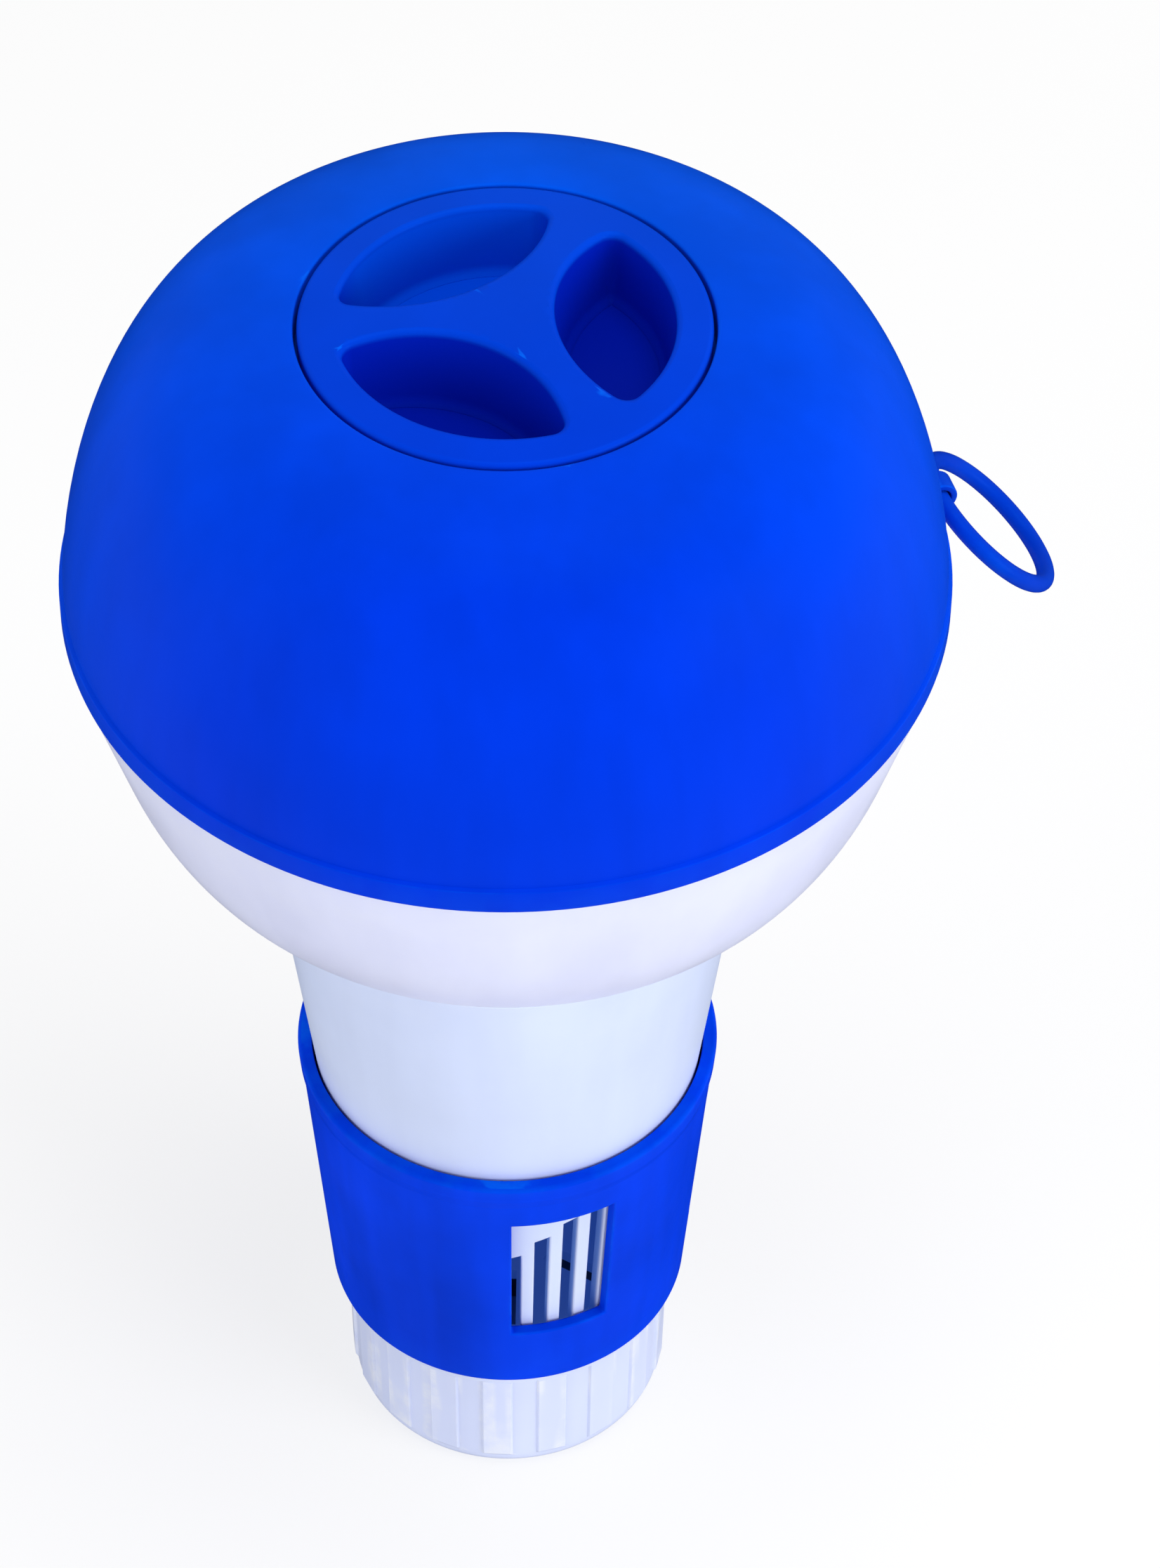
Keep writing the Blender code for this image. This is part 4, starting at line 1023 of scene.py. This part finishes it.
FLOOR_REACH, FLOOR_DROP, FLOOR_GLOW = 12.0, 0.0002, 0.685
WORLD_STRENGTH = 0.58
LIGHT_TARGET = (0.0, 0.0, 0.14)
# The camera, with lengths as shares of the rim's radius and angles in degrees
DISTANCE, ASIDE, DROP, TILT, ROLL, LENS = 12.64, 0.171, 44.54, 46.57, 0.61, 129.0


def floor_material():
    """Pale paper that glows a little, so that shadows stay faint."""
    nodes = Nodes("pale_floor")
    grain = nodes.noise(3.0, 2.0)
    nodes.join(nodes.mix(grain, (0.29, 0.29, 0.29), (0.31, 0.31, 0.31)), nodes.shader.inputs["Base Color"])
    nodes.join(nodes.mix(grain, (0.97, 0.97, 0.97), (1.0, 1.0, 1.0)), nodes.shader.inputs["Emission Color"])
    nodes.shader.inputs["Emission Strength"].default_value = FLOOR_GLOW
    nodes.shader.inputs["Roughness"].default_value = 0.9
    nodes.shader.inputs["Specular IOR Level"].default_value = 0.0
    return nodes.material


def make_stage():
    shape = bmesh.new()
    bmesh.ops.create_grid(shape, x_segments=8, y_segments=8, size=FLOOR_REACH)
    floor = finish_mesh("floor", shape)
    floor.location.z = -FLOOR_DROP
    floor.visible_glossy = False
    paint(floor, floor_material())


def make_light(name, place, size, power):
    """A round soft light, aimed at the middle of the object; size in metres, power in watts."""
    lamp = bpy.data.lights.new(name, "AREA")
    lamp.shape = "DISK"
    lamp.size = size
    lamp.energy = power
    item = bpy.data.objects.new(name, lamp)
    item.location = place
    item.rotation_euler = (Vector(place) - Vector(LIGHT_TARGET)).to_track_quat("Z", "Y").to_euler()
    bpy.context.scene.collection.objects.link(item)


def make_lights():
    world = bpy.data.worlds.new("studio")
    world.use_nodes = True
    background = world.node_tree.nodes["Background"]
    background.inputs["Color"].default_value = (1.0, 1.0, 1.0, 1.0)
    background.inputs["Strength"].default_value = WORLD_STRENGTH
    bpy.context.scene.world = world
    world.cycles_visibility.glossy = False
    make_light("key", (1.4, -0.9, 0.65), 1.2, 17.0)
    make_light("fill", (-1.3, -0.9, 0.4), 1.4, 8.5)
    make_light("top", (0.2, -0.1, 1.4), 0.9, 6.5)


def make_camera():
    """The view from the front, well above, through a long lens."""
    rim = RIM_RADIUS * MM
    distance, drop = DISTANCE * rim, math.radians(DROP)
    camera = bpy.data.cameras.new("camera")
    camera.lens = LENS
    camera.clip_start = 0.05
    item = bpy.data.objects.new("camera", camera)
    down = math.radians(TILT)
    ahead = Vector((0.0, math.cos(down), -math.sin(down)))
    up = Vector((0.0, math.sin(down), math.cos(down)))
    right = Vector((1.0, 0.0, 0.0))
    cosine, sine = math.cos(math.radians(ROLL)), math.sin(math.radians(ROLL))
    side_axis = right * cosine + up * sine
    up_axis = up * cosine - right * sine
    turn = Matrix((side_axis, up_axis, -ahead)).transposed().to_4x4()
    height = distance * math.sin(drop) + RIM_BOTTOM * MM
    place = Vector((ASIDE * rim, -distance * math.cos(drop), height))
    item.matrix_world = Matrix.Translation(place) @ turn
    bpy.context.scene.collection.objects.link(item)
    bpy.context.scene.camera = item
    bpy.context.scene.view_settings.view_transform = "Standard"


# ---------------------------------------------------------------- assembly

def place_float():
    """The shells, the tube, the base and the neck inside, which don't move."""
    # the dome's back colour is painted light
    dome_blue = blue("dome_plastic", DOME_BLUE, 0.32, 0.04, streaky=0.13, back=DOME_BACK_PAINTED_LIGHT)
    bowl_white = white("bowl_plastic", BOWL_WHITE, 0.34, translucent=0.12)
    inner_white = white("inner_plastic", INNER_WHITE, 0.42, translucent=0.05)
    # the tube's jambs and inside get painted shade and a painted glow
    tube_white = white("tube_plastic", TUBE_WHITE, 0.36, dress=with_painted_shade_and_glow, translucent=0.10)
    cap_white = white("cap_plastic", CAP_WHITE, 0.38, translucent=0.10)
    place_piece(make_dome(), dome_blue, "float", "float_dome")
    place_piece(make_bowl(), bowl_white, "float", "float_bowl")
    place_piece(make_filler_neck(), inner_white, "float", "filler_neck")
    place_piece(make_tube(), tube_white, "float", "tablet_tube")
    place_piece(make_cap(), cap_white, "float", "base_cap")


def place_moving():
    """The collar, the lid, and the ring with the lug that it hangs in."""
    collar_blue = blue("collar_plastic", COLLAR_BLUE, 0.32, 0.03, streaky=0.28)
    # the lid's back colour is painted light
    # the lid's finger recesses get painted shade
    lid_blue = blue("lid_plastic", LID_BLUE, 0.32, 0.06, back=LID_BACK_PAINTED_LIGHT, dress=with_painted_recess_shade)
    ring_blue = blue("ring_plastic", RING_BLUE, 0.34, 0.08)
    place_piece(make_collar(), collar_blue, "collar", "flow_collar")
    place_piece(make_lid(), lid_blue, "lid", "lid")
    place_piece(make_ring(), ring_blue, "ring", "tether_ring")
    place_piece(make_lug(), ring_blue, "float", "ring_lug")


def place_hidden():
    """The gasket, and the looks of the seals, the grate and the ballast, which stay as they are."""
    seal_rubber = rubber("black_rubber")
    place_piece(make_gasket(), seal_rubber, "gasket", "lid_gasket")
    for seal in ("rim_seal", "neck_upper_seal", "neck_lower_seal", "tube_seal"):
        paint(frame["nodes"][seal], seal_rubber)
    # the grate lies inside the tube, so it gets painted shade and a painted glow all over
    grate_white = white("grate_plastic", TUBE_WHITE, 0.40, dress=with_painted_shade_and_glow)
    paint(frame["nodes"]["tablet_grate"], grate_white)
    paint(frame["nodes"]["ballast_ring"], coated_iron("coated_iron"))


def build():
    make_camera()
    make_stage()
    make_lights()
    place_float()
    place_moving()
    place_hidden()


build()
bpy.context.view_layer.update()
